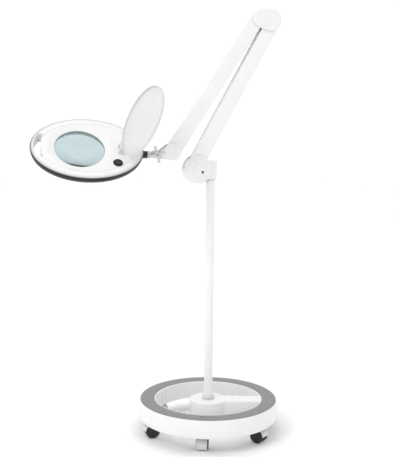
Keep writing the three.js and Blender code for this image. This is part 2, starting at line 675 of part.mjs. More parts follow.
/** A circle about the lens axis, at a height. */
function lensRing(radius, z) {
  return Array.from({ length: HEAD_SIDES }, (_, i) => {
    const turn = (2 * Math.PI * i) / HEAD_SIDES;
    return new THREE.Vector3(radius * Math.cos(turn), radius * Math.sin(turn), z);
  });
}

/** The crescent of the handle slot, grown by margin: it follows the oval's end. */
function handleSlot(margin) {
  const outer = { x: HEAD_CENTRE, a: HALF_LENGTH - 8 + margin, b: HALF_WIDTH - 8 + margin };
  const half = radians(SLOT_HALF_ANGLE) + margin / 100;
  const middle = radians(SLOT_MIDDLE);
  const shape = new THREE.Shape();
  const steps = 7;
  for (let i = 0; i <= steps; i += 1) {
    const turn = middle - half + (2 * half * i) / steps;
    const [x, y] = [outer.x + outer.a * Math.cos(turn), outer.b * Math.sin(turn)];
    if (i === 0) shape.moveTo(x, y);
    else shape.lineTo(x, y);
  }
  const edge = SLOT_NEAR - margin;
  for (let i = steps; i >= 0; i -= 1) {
    const turn = middle - half + (2 * half * i) / steps;
    shape.lineTo(edge * Math.cos(turn * 0.78), outer.b * Math.sin(turn) * 0.98);
  }
  shape.closePath();
  return shape;
}

function discAt(radius, z0, z1, sides = HEAD_SIDES) {
  return rod(radius, [0, 0, z0], [0, 0, z1], sides);
}

function annulus(inner, outer, z0, z1, sides = HEAD_SIDES) {
  return turnedRing([[inner, z0], [outer, z0], [outer, z1], [inner, z1]], sides);
}

function addHeadShells(group) {
  const slot = slab(handleSlot(0), -40, 20);
  const slotWall = slab(handleSlot(2.4), -40, 20);

  const topOuter = loft([
    ovalRing(0, PARTING), ovalRing(0, 1.6), ovalRing(3, 3.7), ovalRing(16, 4.7),
    lensRing(73, 4.7), lensRing(LENS_OPENING + 2.5, 0.3),
  ]);
  const topInner = loft([
    ovalRing(2.4, PARTING - 1), ovalRing(4.4, 1.2), ovalRing(16, 2.2), lensRing(75, 1.6),
  ]);
  const barrel = discAt(BARREL_RADIUS, BARREL_LOW, 1);
  const flange = discAt(71.5, -14, -12);
  const solidCore = join(discAt(BARREL_RADIUS + 1.6, -30, 10), slotWall);
  const lensBore = discAt(LENS_OPENING, -30, 10);
  const lensSeat = discAt(LENS_RADIUS + GAP, -30, -2);
  const [hingeX, hingeZ] = LID_HINGE;
  const ears = [-1, 1].map((side) => {
    const ear = new THREE.Shape();
    ear.moveTo(hingeX - 6, 3.5);
    ear.lineTo(hingeX + 6, 3.5);
    ear.lineTo(hingeX + 3.4, hingeZ);
    ear.absarc(hingeX, hingeZ, 3.4, 0, Math.PI, false);
    ear.closePath();
    return upright(ear, side > 0 ? 8 : -12, side > 0 ? 12 : -8, 5).rotate([0, 0, LID_TURN]);
  });
  const [switchX, switchY] = SWITCH_PLACE;
  const top = cut(
    join(cut(topOuter, cut(topInner, solidCore)), barrel, flange, ...ears),
    slot, lensBore, lensSeat,
    rod(SWITCH_RADIUS + GAP, [switchX, switchY, -10], [switchX, switchY, 12], 24),
    rod(LID_PIN + GAP, [hingeX, -20, hingeZ], [hingeX, 20, hingeZ], 8).rotate([0, 0, LID_TURN]),
  );
  piece(group, 'head_top_shell', WHITE_PLASTIC, top);

  const low = HEAD_UNDERSIDE;
  const bottomOuter = loft([
    ovalRing(22, low), ovalRing(12, low + 6), ovalRing(3.4, low + 16),
    ovalRing(0.6, PARTING - GAP),
  ]);
  const bottomInner = loft([
    ovalRing(24, low + 3), ovalRing(15.5, low + 7.5), ovalRing(6.6, low + 17),
    ovalRing(3.6, PARTING + 2),
  ]);
  const neckEnd = HEAD_CENTRE - HALF_LENGTH;
  const neckSocket = rod(10, [neckEnd - 2, 0, -ROLL_AXIS_DEPTH], [-116, 0, -ROLL_AXIS_DEPTH], 20)
    .intersect(bottomOuter);
  const bottom = cut(
    join(cut(bottomOuter, cut(bottomInner, slotWall)), neckSocket),
    slot, discAt(66.5, -40, -20),
    rod(NECK_RADIUS + GAP, [neckEnd - 5, 0, -ROLL_AXIS_DEPTH], [-119, 0, -ROLL_AXIS_DEPTH], 20),
  );
  piece(group, 'head_bottom_shell', DARK_PLASTIC, bottom);
}

function addHeadInside(group) {
  piece(group, 'lens', CLEAR_GLASS, lensSolid());
  piece(group, 'lens_ring', BLACK_PLASTIC, annulus(LENS_OPENING - 1, LENS_RADIUS, -11, -6.9));
  piece(group, 'led_board', BOARD_WHITE, annulus(BARREL_RADIUS + GAP, 81.5, -16, -14.3));
  piece(group, 'led_diffuser', DIFFUSER, annulus(LENS_OPENING, 70.5, HEAD_UNDERSIDE + 3.3, BARREL_LOW - 1));
}

/** A biconvex lens whose edge sits under the lip of the top shell. */
function lensSolid() {
  const edgeTop = -2.3;
  const edgeLow = -5.9;
  const crown = 4.5;
  const points = [[0, edgeLow - crown]];
  const steps = 3;
  for (let i = 1; i <= steps; i += 1) {
    const share = i / steps;
    points.push([LENS_RADIUS * share, edgeLow - crown * (1 - share ** 2)]);
  }
  for (let i = steps; i >= 1; i -= 1) {
    const share = i / steps;
    points.push([LENS_RADIUS * share, edgeTop + 2.2 * (1 - share ** 2)]);
  }
  points.push([0, edgeTop + 2.2]);
  return turned(points, HEAD_SIDES);
}

function addSwitch(group) {
  const [x, y] = SWITCH_PLACE;
  const bezel = turned([
    [0, -11], [SWITCH_RADIUS, -11], [SWITCH_RADIUS, 5.2], [SWITCH_RADIUS + 1.4, 5.2],
    [SWITCH_RADIUS + 1.1, 6.6], [8.4, 7], [8.4, -8.6], [0, -8.6],
  ], 20).translate([x, y, 0]);
  piece(group, 'switch_bezel', BLACK_PLASTIC, bezel);

  const face = new THREE.Shape();
  face.moveTo(-6.6, -3);
  face.lineTo(6.6, -3);
  face.lineTo(7.3, 3.4);
  face.lineTo(0, 1.9);
  face.lineTo(-7.3, 3.4);
  face.closePath();
  const rocker = upright(face, -7, 7).intersect(discAt(7.5, -6, 10, 20))
    .rotate([0, -10, 0]).translate([x, y, 5.2]);
  piece(group, 'power_switch', BLACK_PLASTIC, rocker);
}

/** The lens cover as it lies closed, with its hinge axis at the group's origin. */
function addLid(group) {
  const skirt = 6;
  const pan = turned([
    [0, -1.1], [LID_RADIUS - 2, -1.1], [LID_RADIUS - 2, -skirt], [LID_RADIUS, -skirt],
    [LID_RADIUS, 0.4], [LID_RADIUS - 1.4, 1.3], [0, 1.6],
  ], HEAD_SIDES).translate([-LID_HINGE[0], 0, 0]);
  const tongue = block(0, 3 - LID_HINGE[0] - LID_RADIUS, -7, 7, -1.1, 1.1);
  const barrel = rod(3.3, [0, -7.7, 0], [0, 7.7, 0]);
  const pinBore = rod(LID_PIN + GAP, [0, -12, 0], [0, 12, 0], 8);
  piece(group, 'lens_cover', LIGHT_GREY, cut(join(pan, tongue, barrel), pinBore));
}

function addHead(group) {
  const tilt = new THREE.Group();
  tilt.position.set(TILT_PIVOT[0], 0, TILT_PIVOT[1]);
  tilt.rotation.set(0, -radians(NECK_PITCH), Math.PI, 'ZYX');
  group.add(tilt);
  const eye = rod(9, [0, -FORK_SLOT + GAP, 0], [0, FORK_SLOT - GAP, 0], 20);
  const shank = block(0, 19, -FORK_SLOT + GAP, FORK_SLOT - GAP, -NECK_DROP - 7, 5);
  const shoulder = rod(9, [12, 0, -NECK_DROP], [19, 0, -NECK_DROP], 20);
  const neckRod = rod(NECK_RADIUS, [15, 0, -NECK_DROP], [59, 0, -NECK_DROP], 20);
  const bore = rod(CLAMP_RADIUS + GAP, [0, -20, 0], [0, 20, 0]);
  piece(tilt, 'neck', LIGHT_GREY, cut(join(eye, shank, shoulder, neckRod), bore));

  const roll = new THREE.Group();
  roll.position.set(0, 0, -NECK_DROP);
  roll.rotation.x = -radians(HEAD_ROLL);
  tilt.add(roll);
  const head = new THREE.Group();
  head.position.set(LENS_FROM_TILT, 0, ROLL_AXIS_DEPTH);
  roll.add(head);

  const collar = turnedRing([
    [NECK_RADIUS + GAP, 0], [8.8, 0], [8.8, 11], [8, 12.6], [NECK_RADIUS + GAP, 12.6],
  ], 20).rotate([0, 90, 0]).translate([19.3 - LENS_FROM_TILT, 0, -ROLL_AXIS_DEPTH]);
  piece(head, 'neck_collar', BLACK_PLASTIC, collar);

  addHeadShells(head);
  addHeadInside(head);
  addSwitch(head);

  const hinge = new THREE.Group();
  hinge.rotation.z = radians(LID_TURN);
  head.add(hinge);
  const lid = new THREE.Group();
  lid.position.set(LID_HINGE[0], 0, LID_HINGE[1]);
  lid.rotation.y = -radians(LID_OPEN);
  hinge.add(lid);
  addLid(lid);
  piece(lid, 'lid_hinge_pin', STEEL, rod(LID_PIN, [0, -12, 0], [0, 12, 0], 8));
}

// ---------------------------------------------------------------- the lamp

const lamp = new THREE.Group();
const onPole = new THREE.Group();
onPole.position.set(POLE_X, POLE_Y, 0);
lamp.add(onPole);

addBase(onPole);
for (let i = 0; i < CASTER_COUNT; i += 1) {
  const caster = new THREE.Group();
  const [x, y] = casterPlace(i);
  caster.position.set(x, y, 0);
  caster.rotation.z = radians(CASTER_HEADINGS[i] - 180);
  onPole.add(caster);
  addCaster(caster, `caster_${i + 1}`);
}

const armPlane = new THREE.Group();
armPlane.rotation.z = radians(ARM_AZIMUTH);
onPole.add(armPlane);
addShoulder(armPlane);
addArms(armPlane);
addElbow(armPlane);
addTip(armPlane);
addHead(armPlane);

export default lamp;
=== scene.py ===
"""Looks of the floor-standing magnifying lamp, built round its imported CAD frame.

Each piece is modelled in millimetres in a frame of its own (base, arm plane, arm, head and so on)
that is worked out from the record's joints, and placed in metres.
"""

import json
import math

import bmesh
import bpy
from mathutils import Matrix, Vector


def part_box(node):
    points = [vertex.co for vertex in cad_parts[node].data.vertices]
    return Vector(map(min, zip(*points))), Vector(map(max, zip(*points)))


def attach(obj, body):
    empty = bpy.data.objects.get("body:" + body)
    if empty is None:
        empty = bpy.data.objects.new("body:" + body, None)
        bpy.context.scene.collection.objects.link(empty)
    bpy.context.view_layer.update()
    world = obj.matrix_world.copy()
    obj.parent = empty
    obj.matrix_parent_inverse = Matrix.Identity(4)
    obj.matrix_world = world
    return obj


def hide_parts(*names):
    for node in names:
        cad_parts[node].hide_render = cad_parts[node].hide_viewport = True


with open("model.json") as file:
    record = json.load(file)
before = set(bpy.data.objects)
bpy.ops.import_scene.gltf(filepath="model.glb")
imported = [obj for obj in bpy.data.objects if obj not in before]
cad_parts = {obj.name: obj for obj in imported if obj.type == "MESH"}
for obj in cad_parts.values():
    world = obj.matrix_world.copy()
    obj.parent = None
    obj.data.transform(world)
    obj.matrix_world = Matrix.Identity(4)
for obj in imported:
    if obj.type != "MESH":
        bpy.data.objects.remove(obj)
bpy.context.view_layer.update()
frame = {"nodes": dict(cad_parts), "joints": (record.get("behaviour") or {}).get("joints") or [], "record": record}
JOINTS = {joint["name"]: joint for joint in frame["joints"]}
UP = Vector((0, 0, 1))
MM = 0.001


# ---------------------------------------------------------------- frames

def placed(origin, x, y, z):
    """A matrix from millimetres along x, y and z to metres in the row frame."""
    turn = Matrix((x, y, z)).transposed() * MM
    return Matrix.Translation(origin) @ turn.to_4x4()


def joint_place(name):
    return Vector(JOINTS[name]["pos_m"])


def joint_axis(name):
    return Vector(JOINTS[name]["axis"]).normalized()


POLE_AXIS = joint_place("pole_swivel")
FLOOR_CENTRE = Vector((POLE_AXIS.x, POLE_AXIS.y, 0))
CASTER_COUNT = 6
CASTER_PLACES = [(joint_place(f"caster_{i + 1}_swivel") - FLOOR_CENTRE) / MM
                 for i in range(CASTER_COUNT)]
BASE = placed(FLOOR_CENTRE, Vector((1, 0, 0)), Vector((0, 1, 0)), UP)

FRONT = joint_axis("lower_arm_pitch")
ALONG = UP.cross(FRONT).normalized()
PLANE = placed(FLOOR_CENTRE, ALONG, UP, FRONT)
MIRROR = Matrix.Diagonal((1, 1, -1, 1))   # front to back in the arm plane


def in_plane(point):
    """A point's place in the arm plane, in millimetres: along the plane and up."""
    away = point - FLOOR_CENTRE
    return Vector((away.dot(ALONG), away.z)) / MM


def at_point(point):
    """The arm plane's frame, moved to a point of the plane."""
    return PLANE @ Matrix.Translation((*point, 0))


SHOULDER = in_plane(joint_place("lower_arm_pitch"))
SHOULDER_LINK = in_plane(joint_place("lower_link_follow"))
ELBOW_LOWER = in_plane(joint_place("elbow_level"))
ELBOW_UPPER = in_plane(joint_place("upper_arm_pitch"))
ELBOW_LINK = in_plane(joint_place("upper_link_follow"))
TIP = in_plane(joint_place("tip_level"))
TILT = in_plane(joint_place("head_tilt"))


def arm_frame(start, end):
    """X along an arm from pivot to pivot, Y to its open side, Z towards the front."""
    run = (end - start).normalized()
    x = ALONG * run.x + UP * run.y
    origin = FLOOR_CENTRE + (ALONG * start.x + UP * start.y) * MM
    return placed(origin, x, FRONT.cross(x), FRONT)


HEAD_X = joint_axis("head_roll")
HEAD_Y = joint_axis("switch_rock")
HEAD_Z = HEAD_X.cross(HEAD_Y)
NECK = placed(joint_place("head_tilt"), HEAD_X, FRONT, HEAD_X.cross(FRONT))
LENS_TOP = -0.1     # top of the CAD's lens, from the head frame's origin


def head_origin():
    """The point on the lens axis at the seat of the lens."""
    points = [v.co for v in frame["nodes"]["lens"].data.vertices]
    along = [p.dot(HEAD_X) for p in points]
    across = [p.dot(HEAD_Y) for p in points]
    height = max(p.dot(HEAD_Z) for p in points) - LENS_TOP * MM
    middle = [(min(side) + max(side)) / 2 for side in (along, across)]
    return HEAD_X * middle[0] + HEAD_Y * middle[1] + HEAD_Z * height


HEAD = placed(head_origin(), HEAD_X, HEAD_Y, HEAD_Z)
SWITCH = (HEAD.inverted() @ (sum(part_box("switch_bezel"), Vector()) / 2)).to_2d()


# ---------------------------------------------------------------- outlines and profiles

def arc(centre, radius, start, end, steps):
    """Points on an arc, with its angles in degrees."""
    angles = [math.radians(start + (end - start) * i / steps) for i in range(steps + 1)]
    return [(centre[0] + radius * math.cos(a), centre[1] + radius * math.sin(a)) for a in angles]


def pair_outline(c1, r1, c2, r2, steps=24):
    """Two circles joined by the straight lines that touch both."""
    apart = math.hypot(c2[0] - c1[0], c2[1] - c1[1])
    towards = math.degrees(math.atan2(c2[1] - c1[1], c2[0] - c1[0]))
    lean = math.degrees(math.acos((r1 - r2) / apart))
    return (arc(c1, r1, towards + lean, towards - lean + 360, steps)
            + arc(c2, r2, towards - lean, towards + lean, steps))


def offset(outline, inset):
    """A closed outline moved inwards along its normals."""
    moved = []
    count = len(outline)
    turning = sum(outline[i][0] * outline[(i + 1) % count][1]
                  - outline[(i + 1) % count][0] * outline[i][1] for i in range(count))
    side = 1 if turning > 0 else -1
    for i, point in enumerate(outline):
        before = Vector(outline[i - 1])
        after = Vector(outline[(i + 1) % count])
        run = (after - before).normalized()
        moved.append((point[0] - side * run.y * inset, point[1] + side * run.x * inset))
    return moved


def rounded(points, radius, closed=False, steps=4):
    """A polyline with its corners rounded off. radius is one number, or one for each point."""
    radii = radius if isinstance(radius, (list, tuple)) else [radius] * len(points)
    result = []
    for i, (point, r) in enumerate(zip(points, radii)):
        if r == 0 or (not closed and i in (0, len(points) - 1)):
            result.append(tuple(point))
            continue
        here = Vector(point)
        back = Vector(points[i - 1]) - here
        ahead = Vector(points[(i + 1) % len(points)]) - here
        reach = min(r, 0.45 * back.length, 0.45 * ahead.length)
        start = here + back.normalized() * reach
        end = here + ahead.normalized() * reach
        for k in range(steps + 1):
            t = k / steps
            result.append(tuple(start.lerp(here, t).lerp(here.lerp(end, t), t)))
    return result


def quarter_turn(steps):
    """Angles over a quarter turn."""
    return [math.pi / 2 * i / steps for i in range(steps + 1)]


def top_rim(edge, high, steps):
    """A quarter round over the top of a solid, as levels of (inset, height)."""
    return [(edge * (1 - math.cos(a)), high - edge * (1 - math.sin(a))) for a in quarter_turn(steps)]


def stacked(outline, levels):
    """A ring for each level of (inset, height), from one outline."""
    return [[(x, y, z) for x, y in offset(outline, inset)] for inset, z in levels]


# ---------------------------------------------------------------- meshes

SHARP_ANGLE = 38             # degrees
WELD = 1e-6                  # metres


class Shape:
    """Vertices and faces, which can be added together."""

    def __init__(self, verts=(), faces=()):
        self.verts = [tuple(v) for v in verts]
        self.faces = [tuple(f) for f in faces]

    def __add__(self, other):
        shift = len(self.verts)
        moved = [tuple(i + shift for i in face) for face in other.faces]
        return Shape(self.verts + other.verts, self.faces + moved)

    def moved(self, matrix):
        return Shape([tuple(matrix @ Vector(v)) for v in self.verts], self.faces)

    def shifted(self, x=0.0, y=0.0, z=0.0):
        return self.moved(Matrix.Translation((x, y, z)))

    def turned(self, degrees, axis):
        return self.moved(Matrix.Rotation(math.radians(degrees), 4, axis))


def loft(rings, closed=False):
    """A surface through rings of equally many points; closed joins the last to the first."""
    count = len(rings[0])
    verts = [point for ring in rings for point in ring]
    faces = []
    rows = len(rings) if closed else len(rings) - 1
    for row in range(rows):
        a = row * count
        b = ((row + 1) % len(rings)) * count
        for i in range(count):
            k = (i + 1) % count
            faces.append((a + i, a + k, b + k, b + i))
    if not closed:
        faces.append(tuple(range(count)))
        faces.append(tuple(range((len(rings) - 1) * count, len(rings) * count)))
    return Shape(verts, faces)


def lathe(profile, segments=96, sweep=360.0, start=0.0):
    """A profile of (radius, height) points turned about Z. It closes on itself off the axis."""
    full = sweep >= 360
    steps = segments if full else segments + 1
    angles = [math.radians(start + sweep * i / segments) for i in range(steps)]
    on_axis = [radius < 1e-6 for radius, _ in profile]
    verts = []
    rings = []
    for (radius, height), axis in zip(profile, on_axis):
        ring = []
        for angle in angles[:1] if axis else angles:
            ring.append(len(verts))
            verts.append((radius * math.cos(angle), radius * math.sin(angle), height))
        rings.append(ring)
    pairs = list(zip(rings, rings[1:]))
    if not any(on_axis):
        pairs.append((rings[-1], rings[0]))
    faces = []
    spans = steps if full else steps - 1
    for a, b in pairs:
        for i in range(spans):
            k = (i + 1) % steps
            corners = [a[i % len(a)], a[k % len(a)], b[k % len(b)], b[i % len(b)]]
            face = tuple(dict.fromkeys(corners))
            if len(face) > 2:
                faces.append(face)
    if not full:
        faces.append(tuple(ring[0] for ring in rings))
        faces.append(tuple(ring[-1] for ring in rings))
    return Shape(verts, faces)


def hoop(profile, radius, segments, *sweep):
    """A closed profile with rounded corners, turned about Z."""
    return lathe(rounded(profile, radius, closed=True), segments, *sweep)


def rod(radius, low, high, sides=48, edge=0.5):
    """A bar along Z with softened rims; six sides make a bolt head."""
    return lathe(rounded([(0, low), (radius, low), (radius, high), (0, high)], edge), sides)


def plate(outline, low, high, edge=0.6):
    """A flat outline in X and Y from low to high, with rounded rims."""
    foot = [(edge * (1 - math.sin(a)), low + edge * (1 - math.cos(a))) for a in quarter_turn(3)]
    return loft(stacked(outline, foot + top_rim(edge, high, 3)))


def slab(x, y, z, edge=0.6):
    """A box between pairs of limits, with its rims rounded."""
    corner = [(x[0], y[0]), (x[1], y[0]), (x[1], y[1]), (x[0], y[1])]
    return plate(rounded(corner, 1.5 * edge, closed=True), z[0], z[1], edge)


def bar(radius, start, end, sides=32, edge=0.5):
    """A round bar between two points, with its ends broken."""
    start = Vector(start)
    run = Vector(end) - start
    turn = Vector((0, 0, 1)).rotation_difference(run.normalized()).to_matrix().to_4x4()
    return rod(radius, 0, run.length, sides, edge).moved(Matrix.Translation(start) @ turn)


def tube_along(points, radius, sides=8):
    """A round wire along a list of points, with flat ends."""
    rings = []
    side = None
    for i, point in enumerate(points):
        here = Vector(point)
        run = (Vector(points[min(i + 1, len(points) - 1)])
               - Vector(points[max(i - 1, 0)])).normalized()
        side = run.orthogonal() if side is None else side - run * side.dot(run)
        side.normalize()
        other = run.cross(side)
        ring = []
        for k in range(sides):
            angle = 2 * math.pi * k / sides
            ring.append(tuple(here + (side * math.cos(angle) + other * math.sin(angle)) * radius))
        rings.append(ring)
    return loft(rings)


def mesh_of(name, shape, matrix, weld=None):
    """A mesh of a shape with its faces turned outwards, and points closer than weld joined."""
    mesh = bpy.data.meshes.new(name)
    mesh.from_pydata([tuple(matrix @ Vector(v)) for v in shape.verts], [], shape.faces)
    work = bmesh.new()
    work.from_mesh(mesh)
    if weld:
        bmesh.ops.remove_doubles(work, verts=work.verts, dist=weld)
    bmesh.ops.recalc_face_normals(work, faces=work.faces)
    work.to_mesh(mesh)
    work.free()
    return mesh


def shade(mesh, sharp):
    """Smooth shading, but for edges of more than sharp degrees."""
    mesh.shade_smooth()
    mesh.set_sharp_from_angle(angle=math.radians(sharp))


def build(name, shape, matrix, material, body, replaces=(), sharp=SHARP_ANGLE):
    """A named object from a shape, riding on a body and standing for CAD nodes."""
    mesh = mesh_of(name, shape, matrix, WELD)
    shade(mesh, sharp)
    obj = bpy.data.objects.new(name, mesh)
    bpy.context.scene.collection.objects.link(obj)
    obj.data.materials.append(material)
    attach(obj, body)
    if replaces:
        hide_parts(*replaces)
    return obj


def carve(obj, shape, matrix, sharp=SHARP_ANGLE):
    """Cuts a closed shape out of an object's mesh."""
    cutter = bpy.data.objects.new("cutter", mesh_of("cutter", shape, matrix))
    bpy.context.scene.collection.objects.link(cutter)
    modifier = obj.modifiers.new("carve", "BOOLEAN")
    modifier.operation = "DIFFERENCE"
    modifier.solver = "EXACT"
    modifier.object = cutter
    bpy.context.view_layer.update()
    graph = bpy.context.evaluated_depsgraph_get()
    result = bpy.data.meshes.new_from_object(obj.evaluated_get(graph))
    obj.modifiers.clear()
    obj.data = result
    shade(result, sharp)
    bpy.data.objects.remove(cutter)


# ---------------------------------------------------------------- materials

def node_material(name):
    """A new material, with its node tree and its shader."""
    material = bpy.data.materials.new(name)
    material.use_nodes = True
    tree = material.node_tree
    return material, tree, tree.nodes["Principled BSDF"]


def noise(tree, scale, detail=3.0, coordinates=None):
    texture = tree.nodes.new("ShaderNodeTexNoise")
    texture.inputs["Scale"].default_value = scale
    texture.inputs["Detail"].default_value = detail
    place = coordinates or tree.nodes.new("ShaderNodeTexCoord").outputs["Object"]
    tree.links.new(place, texture.inputs["Vector"])
    return texture.outputs["Fac"]


def spread(tree, source, low, high, start=0.3, end=0.7, clamp=True):
    """A value that runs from start to end, mapped to low to high."""
    ranged = tree.nodes.new("ShaderNodeMapRange")
    ranged.clamp = clamp
    ranged.inputs["From Min"].default_value = start
    ranged.inputs["From Max"].default_value = end
    ranged.inputs["To Min"].default_value = low
    ranged.inputs["To Max"].default_value = high
    tree.links.new(source, ranged.inputs["Value"])
    return ranged.outputs["Result"]


def combine(tree, operation, first, second):
    """Two values put through one operation, such as ADD."""
    node = tree.nodes.new("ShaderNodeMath")
    node.operation = operation
    tree.links.new(first, node.inputs[0])
    tree.links.new(second, node.inputs[1])
    return node.outputs["Value"]


def mottle(tree, shader, colour, amount, scale):
    """The base colour, darker and lighter by amount in soft patches."""
    ramp = tree.nodes.new("ShaderNodeValToRGB")
    ramp.color_ramp.elements[0].position = 0.3
    ramp.color_ramp.elements[1].position = 0.7
    ramp.color_ramp.elements[0].color = (*[c * (1 - amount) for c in colour], 1)
    ramp.color_ramp.elements[1].color = (*[min(c * (1 + amount), 1) for c in colour], 1)
    tree.links.new(noise(tree, scale), ramp.inputs["Fac"])
    tree.links.new(ramp.outputs["Color"], shader.inputs["Base Color"])


def bump(tree, shader, height, distance):
    relief = tree.nodes.new("ShaderNodeBump")
    relief.inputs["Distance"].default_value = distance
    tree.links.new(height, relief.inputs["Height"])
    tree.links.new(relief.outputs["Normal"], shader.inputs["Normal"])


def surface(name, colour, roughness, grain, grain_depth, metallic=0.0, coat=0.0, amount=0.02):
    """A moulded, painted or metal surface with a fine grain and soft changes of tone."""
    material, tree, shader = node_material(name)
    shader.inputs["Metallic"].default_value = metallic
    shader.inputs["Coat Weight"].default_value = coat
    shader.inputs["Coat Roughness"].default_value = 0.12
    mottle(tree, shader, colour, amount, 22.0)
    rough = spread(tree, noise(tree, 60.0), roughness * 0.85, roughness * 1.15)
    tree.links.new(rough, shader.inputs["Roughness"])
    bump(tree, shader, noise(tree, grain, 2.0), grain_depth)
    return material


def brushed(name, colour, roughness):
    """Metal with fine drawn lines across its height."""
    material, tree, shader = node_material(name)
    shader.inputs["Metallic"].default_value = 1.0
    mottle(tree, shader, colour, 0.06, 300.0)
    place = tree.nodes.new("ShaderNodeTexCoord").outputs["Object"]
    stretch = tree.nodes.new("ShaderNodeMapping")
    stretch.inputs["Scale"].default_value = (1.0, 1.0, 18.0)
    tree.links.new(place, stretch.inputs["Vector"])
    lines = noise(tree, 900.0, 2.0, stretch.outputs["Vector"])
    tree.links.new(spread(tree, lines, roughness * 0.7, roughness * 1.4),
                   shader.inputs["Roughness"])
    bump(tree, shader, lines, 0.00004)
    return material


def ribbed_mat(name, colour):
    """A soft mat with fine concentric ribs round the pole and a granular skin."""
    material, tree, shader = node_material(name)
    mottle(tree, shader, colour, 0.07, 900.0)
    shader.inputs["Roughness"].default_value = 0.42
    place = tree.nodes.new("ShaderNodeTexCoord").outputs["Object"]
    centred = tree.nodes.new("ShaderNodeMapping")
    centred.inputs["Location"].default_value = (-FLOOR_CENTRE.x, -FLOOR_CENTRE.y, 0)
    tree.links.new(place, centred.inputs["Vector"])
    rings = tree.nodes.new("ShaderNodeTexWave")
    rings.wave_type = "RINGS"
    rings.rings_direction = "Z"
    rings.inputs["Scale"].default_value = 100.0
    rings.inputs["Distortion"].default_value = 0.0
    tree.links.new(centred.outputs["Vector"], rings.inputs["Vector"])
    relief = combine(tree, "ADD", rings.outputs["Fac"], noise(tree, 1600.0))
    bump(tree, shader, relief, 0.00018)
    return material


def glass(name, tint):
    material, tree, shader = node_material(name)
    shader.inputs["Transmission Weight"].default_value = 1.0
    shader.inputs["IOR"].default_value = 1.5
    mottle(tree, shader, tint, 0.01, 12.0)
    tree.links.new(spread(tree, noise(tree, 40.0), 0.0, 0.02), shader.inputs["Roughness"])
    bump(tree, shader, noise(tree, 8.0, 1.0), 0.00002)
    return material


def frosted(name, colour):
    material, tree, shader = node_material(name)
    shader.inputs["Transmission Weight"].default_value = 0.35
    shader.inputs["Subsurface Weight"].default_value = 0.3
    shader.inputs["Subsurface Radius"].default_value = (0.004, 0.004, 0.004)
    mottle(tree, shader, colour, 0.02, 40.0)
    tree.links.new(spread(tree, noise(tree, 500.0), 0.45, 0.6), shader.inputs["Roughness"])
    bump(tree, shader, noise(tree, 1500.0), 0.00005)
    return material


MOULDING = (0.81, 0.815, 0.81)
WHITE = surface("white_moulding", MOULDING, 0.32, 1400.0, 0.00003, coat=0.25)
PAINT = surface("white_powder_coat", (0.83, 0.83, 0.825), 0.36, 900.0, 0.00006, coat=0.15)
LIGHT_GREY = surface("light_grey_plastic", (0.62, 0.63, 0.63), 0.42, 1200.0, 0.00005)
DARK = surface("dark_plastic", (0.05, 0.051, 0.054), 0.45, 1200.0, 0.00006, amount=0.08)
BLACK = surface("black_plastic", (0.012, 0.012, 0.013), 0.35, 1200.0, 0.00005, amount=0.12)
TYRE = surface("black_tread", (0.014, 0.014, 0.015), 0.55, 800.0, 0.00009, amount=0.15)
IRON = surface("cast_iron", (0.09, 0.09, 0.095), 0.75, 350.0, 0.0004, metallic=0.7, amount=0.2)
BOARD = surface("circuit_board", (0.78, 0.82, 0.79), 0.5, 1500.0, 0.00003)
LED_YELLOW = surface("led_phosphor", (0.9, 0.74, 0.25), 0.4, 2000.0, 0.00003)
LID_SKIN = surface("lid_moulding", (0.67, 0.67, 0.665), 0.35, 1400.0, 0.00003, coat=0.2)
STEEL = brushed("zinc_plated_steel", (0.62, 0.63, 0.65), 0.3)
MAT = ribbed_mat("grey_mat", (0.205, 0.205, 0.205))
GLASS = glass("lens_glass", (0.56, 0.69, 0.695))
FROST = frosted("frosted_diffuser", (0.9, 0.92, 0.9))

FINISHES = {
    "white_shell": WHITE, "white_paint": PAINT, "grey_mat": MAT, "light_grey_plastic": LIGHT_GREY,
    "dark_plastic": DARK, "black_plastic": BLACK, "wheel_tread": TYRE, "steel": STEEL,
    "cast_iron": IRON, "clear_glass": GLASS, "diffuser": FROST, "circuit_board": BOARD,
    "lid_plastic": LID_SKIN,
}
SLOT_OF = {part["node"]: part["material_slot"] for part in frame["record"]["subparts"]}
BODY_OF = {node: body for body, nodes in frame["record"]["behaviour"]["bodies"].items()
           for node in nodes}
for node_name, node_object in frame["nodes"].items():
    node_object.data.materials.clear()
    node_object.data.materials.append(FINISHES[SLOT_OF[node_name]])


def stand_for(node, shape, matrix, material=None, name=None, sharp=SHARP_ANGLE, slot=None):
    """A finer piece in a CAD node's place, on its body and with its material slot's finish."""
    slot = slot or SLOT_OF[node]
    return build(name or f"{node}_skin", shape, matrix, material or FINISHES[slot],
                 BODY_OF[node], (node,), sharp)


def beside(node, name, shape, matrix, material=None):
    """A further piece on the same body as a CAD node."""
    slot = SLOT_OF[node]
    return build(name, shape, matrix, material or FINISHES[slot], BODY_OF[node])


# ---------------------------------------------------------------- camera, light and floor

CAMERA_AWAY = (0.0, -1.94626, 0.72706)   # from the foot of the pole, in metres
CAMERA_YAW = 0.713                       # degrees, as are the next two
CAMERA_PITCH = -6.49
CAMERA_ROLL = 0.55
CAMERA_LENS = 63.02
CAMERA_SENSOR = 36
WORLD_FRONT = 0.94                       # strength of the world behind the camera
WORLD_BACK = 1.05                        # and behind the lamp
FLOOR_REACH = 12.0                       # metres from the middle to an edge


